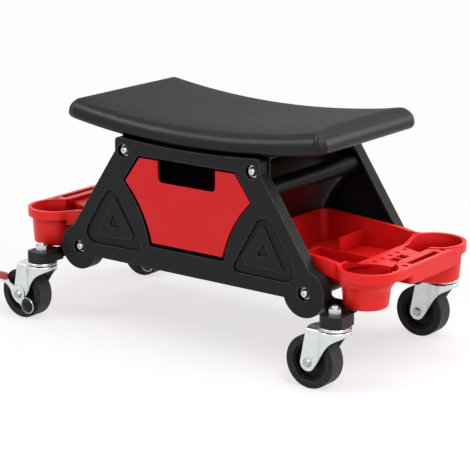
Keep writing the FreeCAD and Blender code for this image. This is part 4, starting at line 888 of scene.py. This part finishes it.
def inflate(obj, parts):
    """Blow the cover up a little between its creases with a cloth simulation, each point capped."""
    held = obj.vertex_groups.new(name="held")
    fixed = [index for index, part in enumerate(parts) if is_fixed(part)]
    held.add(fixed, 1.0, "REPLACE")
    cloth = obj.modifiers.new("cover", "CLOTH")
    cloth.settings.vertex_group_mass = "held"
    cloth.settings.use_pressure = True
    cloth.settings.uniform_pressure_force = CLOTH_PRESSURE
    cloth.settings.tension_stiffness = CLOTH_STIFFNESS
    cloth.settings.compression_stiffness = CLOTH_STIFFNESS
    cloth.settings.bending_stiffness = CLOTH_BENDING
    cloth.settings.quality = CLOTH_QUALITY
    cloth.settings.effector_weights.gravity = 0
    cloth.collision_settings.use_collision = False
    rest = [vertex.co.copy() for vertex in obj.data.vertices]
    scene = bpy.context.scene
    for step in range(1, CLOTH_FRAMES + 1):
        scene.frame_set(step)
    swollen = evaluated_places(obj)
    obj.modifiers.remove(cloth)
    scene.frame_set(1)
    for vertex, start, end, part in zip(obj.data.vertices, rest, swollen, parts):
        cap = (TOP_CAP if part in ("top", 0, 1) else SIDE_CAP) * MM
        move = end - start
        if is_fixed(part) or move.length == 0:
            continue
        vertex.co = start + move * (cap * math.tanh(move.length / cap) / move.length)


def gathers(obj, parts):
    """Press shallow pleats into the cover round each corner, where the vinyl is pulled under."""
    middle_x = SEAT_HALF_LENGTH - SEAT_CORNER
    middle_y = SEAT_HALF_WIDTH - SEAT_CORNER
    quarter = math.pi / 4
    first, last = GATHER_RINGS
    for vertex, part in zip(obj.data.vertices, parts):
        if not isinstance(part, int) or part < first or part > last:
            continue
        x = abs(vertex.co.x) / MM - middle_x
        y = abs(vertex.co.y) / MM - middle_y
        if max(-x, -y) > GATHER_END:
            continue
        angle = min(max(math.atan2(y, x), 0.0), 2 * quarter) if x > 0 or y > 0 else quarter
        along = SEAT_CORNER * (angle - quarter) + max(0.0, -x) - max(0.0, -y)
        nearness = math.exp(-(along / GATHER_REACH) ** 2)
        share = (part - first) / (last - first)
        depth = math.sin(math.pi * share) ** GATHER_FULLNESS
        shift = GATHER_SHIFT * math.sin(along / GATHER_SHIFT_RUN)
        wave = math.cos(2 * math.pi * along / GATHER_PITCH + shift)
        out = Vector((math.copysign(math.cos(angle), vertex.co.x),
                      math.copysign(math.sin(angle), vertex.co.y), 0))
        vertex.co -= out * (GATHER_DEPTH * MM * nearness * depth * (1 - wave) / 2)


def make_cushion():
    mesh, parts = pad_mesh()
    pad = bpy.data.objects.new("seat_pad", mesh)
    bpy.context.scene.collection.objects.link(pad)
    inflate(pad, parts)
    gathers(pad, parts)
    mesh.polygons.foreach_set("use_smooth", [True] * len(mesh.polygons))
    mesh.materials.append(finish("seat_vinyl"))
    smooth = pad.modifiers.new("fine", "SUBSURF")
    smooth.levels = 1
    smooth.render_levels = 1
    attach(pad, "frame")
    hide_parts("seat_cushion")


# Casters: the pressed forks, the ball races and the brake levers, in millimetres

# Half the fork's width over its legs, its sheet and its edges, and how far it stands behind the stem
FORK_HALF = 18.2
FORK_SHEET = 2.2
FORK_EDGE = 0.45
FORK_BACK = 34.8
FORK_BACK_BULGE = 4.5
FORK_WELD = 0.05
# Its legs' round ends, and how far their front edge runs forward for each millimetre up
LEG_END = 11.8
LEG_SLOPE = 0.65
# Its round crown, with the skirt that the legs run into and the bend over the top
CROWN_RADIUS = 23.3
CROWN_BEND = 2.6
SKIRT_TALL = 5.0
SKIRT_FLARE = 4.0
# How the fork is cut into faces, with angles from straight down and from level
TIP_ANGLES = (7, 16, 26, 37, 48, 60, 75)
BEND_ANGLES = (18, 36, 54, 72, 90)
LEG_ROWS = 18
LEG_ROW_POWER = 0.8
FORK_COLUMNS = 34
CROWN_COLUMNS = 10
# The balls between the fork and the race, which sink a little into the fork
BALL_RADIUS = 1.3
BALL_RING = 19.7
BALL_COUNT = 24
BALL_SINK = 0.8
BALL_ROWS = 6
BALL_STEPS = 10
# The stem's riveted head, as (radius, height over its foot)
STEM_HEAD = ((0.3, 0.0), (7.6, 0.1), (9.0, 1.0), (9.0, 2.4), (5.0, 2.6))
# The dished race, as (radius, depth below the arm)
RACE_DISH = (
    (5.0, 3.0), (17.3, 3.1), (19.1, 2.3), (21.9, 2.3), (23.0, 3.0), (23.4, 2.5), (23.3, 1.6),
    (22.5, 1.1), (21.5, 0.9), (21.1, 0.3), (20.5, 0.05), (5.0, 0.05),
)
# The stud with the thread over the nut, and its tip as (radius, depth below its end)
STUD_RADIUS = 5.0
STUD_TIP = ((4.3, 0.1), (3.8, 0.0), (0.3, 0.0))
THREAD_START = 0.2
THREAD_END = 0.6
THREAD_PITCH = 1.25
THREAD_DEPTH = 0.55
THREAD_ROOT_SHARE = 0.3
THREAD_CREST_SHARE = 0.6
TURN_STEPS = 72
# The lever about the wheel's bolt, as (x, z) points: under the pad, over the bolt and down to the heel
LEVER_OUTLINE = (
    (-34.0, 20.6), (-21.0, 20.6), (-16.5, 15.6), (-7.5, 12.6), (2.0, 12.4), (8.6, 8.6), (11.4, 2.0),
    (11.8, -5.0), (14.5, -9.5), (7.0, -17.0), (1.0, -14.6), (-6.0, -11.6), (-12.2, -5.4),
    (-15.4, 2.2), (-19.4, 8.6), (-26.0, 13.0), (-32.6, 15.2), (-35.0, 17.6),
)
LEVER_THICK = 1.8
LEVER_EDGE = 0.5
CURVE_STEPS = 5
# The heel's bright rim and dark dome, as (radius, height over the lever's back face)
HEEL_PLACE = (18.0, -15.0)
HEEL_RIM = (
    (10.6, 0.0), (12.2, 0.0), (12.6, 0.8), (12.5, 2.0), (12.0, 2.6), (11.4, 2.5), (11.0, 2.0),
    (10.6, 1.4),
)
HEEL_DOME = ((11.2, 0.8), (11.0, 2.1), (9.7, 3.7), (7.3, 4.9), (4.0, 5.6), (0.3, 5.8))


def new_piece(name, vertices, faces, look, body, *replaced):
    """A mesh in millimetres as a piece that rides a body."""
    mesh = bpy.data.meshes.new(name)
    mesh.from_pydata([Vector(place) * MM for place in vertices], [], faces)
    mesh.update()
    mesh.materials.append(finish(look))
    obj = bpy.data.objects.new(name, mesh)
    bpy.context.scene.collection.objects.link(obj)
    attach(obj, body)
    if replaced:
        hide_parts(*replaced)
    return obj


def finish_edges(obj, width=None):
    """Round a piece's edges a little where a width is given, and shade it."""
    if width:
        add_bevel(obj, width * MM)
    add_shading(obj)


def centre_of(node):
    low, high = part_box(node)
    return (low + high) / (2 * MM)


def turned(profile, x, y):
    """A solid of revolution about an upright axis, from (radius, height) points."""
    vertices = []
    faces = []
    for step in range(TURN_STEPS):
        angle = 2 * math.pi * step / TURN_STEPS
        for radius, z in profile:
            vertices.append((x + radius * math.cos(angle), y + radius * math.sin(angle), z))
    count = len(profile)
    for step in range(TURN_STEPS):
        here = step * count
        there = (step + 1) % TURN_STEPS * count
        for row in range(count - 1):
            faces.append((here + row, there + row, there + row + 1, here + row + 1))
    return vertices, faces


def ball(x, y, z, base):
    """A ball's vertices and faces, with its first vertex at a number."""
    vertices = [(x, y, z + BALL_RADIUS)]
    faces = []
    for row in range(1, BALL_ROWS):
        tilt = math.pi * row / BALL_ROWS
        for step in range(BALL_STEPS):
            turn = 2 * math.pi * step / BALL_STEPS
            vertices.append((x + BALL_RADIUS * math.sin(tilt) * math.cos(turn),
                             y + BALL_RADIUS * math.sin(tilt) * math.sin(turn),
                             z + BALL_RADIUS * math.cos(tilt)))
    vertices.append((x, y, z - BALL_RADIUS))
    last = base + len(vertices) - 1
    for step in range(BALL_STEPS):
        after = (step + 1) % BALL_STEPS
        faces.append((base, base + 1 + step, base + 1 + after))
        faces.append((last, last - BALL_STEPS + after, last - BALL_STEPS + step))
        for row in range(BALL_ROWS - 2):
            here = base + 1 + row * BALL_STEPS
            faces.append((here + step, here + BALL_STEPS + step, here + BALL_STEPS + after, here + after))
    return vertices, faces


class ForkShape:
    """The pressed fork's wall about its stem: flat legs that run into a round skirt."""

    def __init__(self, axle_x, axle_z, top_z):
        self.axle_x = axle_x
        self.axle_z = axle_z
        self.top_z = top_z
        self.skirt_z = top_z - SKIRT_TALL
        self.bend_z = top_z - CROWN_BEND
        self.fold = math.asin(FORK_HALF / CROWN_RADIUS)
        self.fold_x = -math.sqrt(CROWN_RADIUS ** 2 - FORK_HALF ** 2)
        self.nose = (math.pi - self.fold) * CROWN_RADIUS

    def place(self, along, inset):
        """The plan place at a run along the wall from the fold line, set in by some depth."""
        if along < 0:
            return self.fold_x + along, -(FORK_HALF - inset)
        angle = self.fold + along / CROWN_RADIUS
        radius = CROWN_RADIUS - inset
        return -radius * math.cos(angle), -radius * math.sin(angle)

    def run_to(self, x):
        """The run along the wall to where it stands at x."""
        if x <= self.fold_x:
            return x - self.fold_x
        return (math.acos(max(-1.0, -x / CROWN_RADIUS)) - self.fold) * CROWN_RADIUS

    def span(self, z):
        """Where the wall starts at the back and ends at the front, at a height."""
        slant = math.hypot(1, LEG_SLOPE)
        touch_z = self.axle_z - LEG_END * LEG_SLOPE / slant
        below = max(0.0, self.axle_z - z)
        reach = math.sqrt(max(0.0, LEG_END ** 2 - below ** 2))
        back = self.axle_x - reach
        if z > self.axle_z:
            share = (z - self.axle_z) / (self.top_z - self.axle_z)
            back += share * (-FORK_BACK - back)
        if z >= self.skirt_z:
            return back - self.fold_x, self.nose
        if z < touch_z:
            front = self.run_to(self.axle_x + reach)
        else:
            front = self.run_to(self.axle_x + LEG_END / slant + LEG_SLOPE * (z - touch_z))
        front += (self.nose - front) * math.exp((z - self.skirt_z) / SKIRT_FLARE)
        return back - self.fold_x, front

    def rows(self):
        """Each row's height and depth of inset, from the leg's tip up to the crown."""
        tip = [self.axle_z - LEG_END * math.cos(math.radians(angle)) for angle in TIP_ANGLES]
        leg_tall = self.skirt_z - self.axle_z
        leg = [self.axle_z + leg_tall * (step / LEG_ROWS) ** LEG_ROW_POWER for step in range(LEG_ROWS + 1)]
        skirt = [(self.skirt_z + self.bend_z) / 2, self.bend_z]
        rows = [(z, 0.0) for z in tip + leg + skirt]
        for angle in BEND_ANGLES:
            turn = math.radians(angle)
            rows.append((self.bend_z + CROWN_BEND * math.sin(turn), CROWN_BEND * (1 - math.cos(turn))))
        return rows


def fork_mesh(shape, x, y):
    """Both of the fork's walls, from the front leg's and mirrored, and the crown that joins them."""
    vertices = []
    faces = []
    rows = shape.rows()
    width = FORK_COLUMNS + 1
    for side in (-1, 1):
        start = len(vertices)
        for z, inset in rows:
            back, front = shape.span(z)
            for column in range(width):
                plan_x, plan_y = shape.place(back + (front - back) * column / FORK_COLUMNS, inset)
                vertices.append((x + plan_x, y - side * plan_y, z))
        for row in range(len(rows) - 1):
            for column in range(FORK_COLUMNS):
                low = start + row * width + column
                quad = (low, low + 1, low + width + 1, low + width)
                faces.append(quad if side < 0 else quad[::-1])
    side_size = len(rows) * width
    lines = []
    for column in range(width):
        first = side_size - width + column
        second = first + side_size
        near = vertices[first]
        far = vertices[second]
        line = [first]
        for step in range(1, CROWN_COLUMNS):
            share = step / CROWN_COLUMNS
            bulge = FORK_BACK_BULGE * (1 - (2 * share - 1) ** 2) * (1 - column / FORK_COLUMNS) ** 3
            line.append(len(vertices))
            vertices.append((near[0] - bulge, near[1] + (far[1] - near[1]) * share, near[2]))
        lines.append(line + [second])
    for first, second in zip(lines, lines[1:]):
        for step in range(CROWN_COLUMNS):
            faces.append((first[step], second[step], second[step + 1], first[step + 1]))
    return vertices, faces


def make_fork(name):
    """The pressed fork with the ring of balls over it, turning with the swivel."""
    stem = centre_of("caster_%s_stem" % name)
    wheel = centre_of("caster_%s_tyre" % name)
    top_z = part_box("caster_%s_fork" % name)[1].z / MM
    shape = ForkShape(wheel.x - stem.x, wheel.z, top_z)
    vertices, faces = fork_mesh(shape, stem.x, stem.y)
    body = "swivel_" + name
    fork = new_piece("fork_" + name, vertices, faces, "zinc", body, "caster_%s_fork" % name)
    weld = fork.modifiers.new("weld", "WELD")
    weld.merge_threshold = FORK_WELD * MM
    sheet = fork.modifiers.new("sheet", "SOLIDIFY")
    sheet.thickness = FORK_SHEET * MM
    sheet.offset = -1
    finish_edges(fork, FORK_EDGE)
    vertices = []
    faces = []
    for index in range(BALL_COUNT):
        turn = 2 * math.pi * index / BALL_COUNT
        x = stem.x + BALL_RING * math.cos(turn)
        y = stem.y + BALL_RING * math.sin(turn)
        more_vertices, more_faces = ball(x, y, top_z + BALL_RADIUS * BALL_SINK, len(vertices))
        vertices += more_vertices
        faces += more_faces
    finish_edges(new_piece("balls_" + name, vertices, faces, "dark_zinc", body))


def make_race(name):
    """The fixed upper race, pressed like a dish, with its threaded stud and riveted head."""
    node = "caster_%s_stem" % name
    stem = centre_of(node)
    foot_z, stud_top = (corner.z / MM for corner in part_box(node))
    arm_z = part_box("caster_arm_" + name)[0].z / MM
    turn_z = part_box("caster_%s_nut" % name)[1].z / MM + THREAD_START
    profile = [(radius, foot_z + height) for radius, height in STEM_HEAD]
    profile += [(radius, arm_z - depth) for radius, depth in RACE_DISH]
    profile.append((STUD_RADIUS, turn_z))
    while turn_z + THREAD_PITCH < stud_top - THREAD_END:
        profile.append((STUD_RADIUS - THREAD_DEPTH, turn_z + THREAD_ROOT_SHARE * THREAD_PITCH))
        profile.append((STUD_RADIUS, turn_z + THREAD_CREST_SHARE * THREAD_PITCH))
        profile.append((STUD_RADIUS, turn_z + THREAD_PITCH))
        turn_z += THREAD_PITCH
    profile += [(radius, stud_top - depth) for radius, depth in STUD_TIP]
    vertices, faces = turned(profile, stem.x, stem.y)
    finish_edges(new_piece("race_" + name, vertices, faces, "zinc", "frame", node))


def curve_value(values, share):
    """The Catmull-Rom value at a share of the way between the middle two of four values."""
    before, start, end, after = values
    return 0.5 * (2 * start + (end - before) * share
                  + (2 * before - 5 * start + 4 * end - after) * share * share
                  + (3 * start - before - 3 * end + after) * share ** 3)


def smooth_outline(points):
    """A closed Catmull-Rom curve through points."""
    result = []
    count = len(points)
    for index in range(count):
        stretch = [points[(index + offset) % count] for offset in (-1, 0, 1, 2)]
        for step in range(CURVE_STEPS):
            result.append(tuple(curve_value(values, step / CURVE_STEPS) for values in zip(*stretch)))
    return result


def make_lever(name):
    """The pressed brake lever with its domed heel, rocking about the wheel's bolt."""
    node = "caster_%s_brake_lever" % name
    wheel = centre_of("caster_%s_tyre" % name)
    face_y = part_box(node)[0].y / MM
    back_y = face_y + LEVER_THICK
    outline = smooth_outline(LEVER_OUTLINE)
    count = len(outline)
    vertices = [(wheel.x + x, back_y, wheel.z + z) for x, z in outline]
    vertices += [(wheel.x + x, face_y, wheel.z + z) for x, z in outline]
    faces = [tuple(range(count)), tuple(range(2 * count - 1, count - 1, -1))]
    for step in range(count):
        after = (step + 1) % count
        faces.append((step, count + step, count + after, after))
    body = "brake_" + name
    finish_edges(new_piece("lever_" + name, vertices, faces, "zinc", body, node), LEVER_EDGE)
    heel_x = wheel.x + HEEL_PLACE[0]
    heel_z = wheel.z + HEEL_PLACE[1]
    for part, profile, look in (("rim", HEEL_RIM, "bolt_zinc"), ("dome", HEEL_DOME, "dark_zinc")):
        around, faces = turned(profile, 0, 0)
        vertices = [(heel_x + x, back_y - z, heel_z + y) for x, y, z in around]
        finish_edges(new_piece("heel_%s_%s" % (part, name), vertices, faces, look, body))


def make_casters():
    for name in CASTERS:
        make_fork(name)
        make_race(name)
    for name in BRAKED:
        make_lever(name)


make_camera()
make_world()
make_floor()
make_lights()
dress_nodes()
make_cushion()
make_casters()

bpy.context.scene.view_settings.view_transform = "Standard"
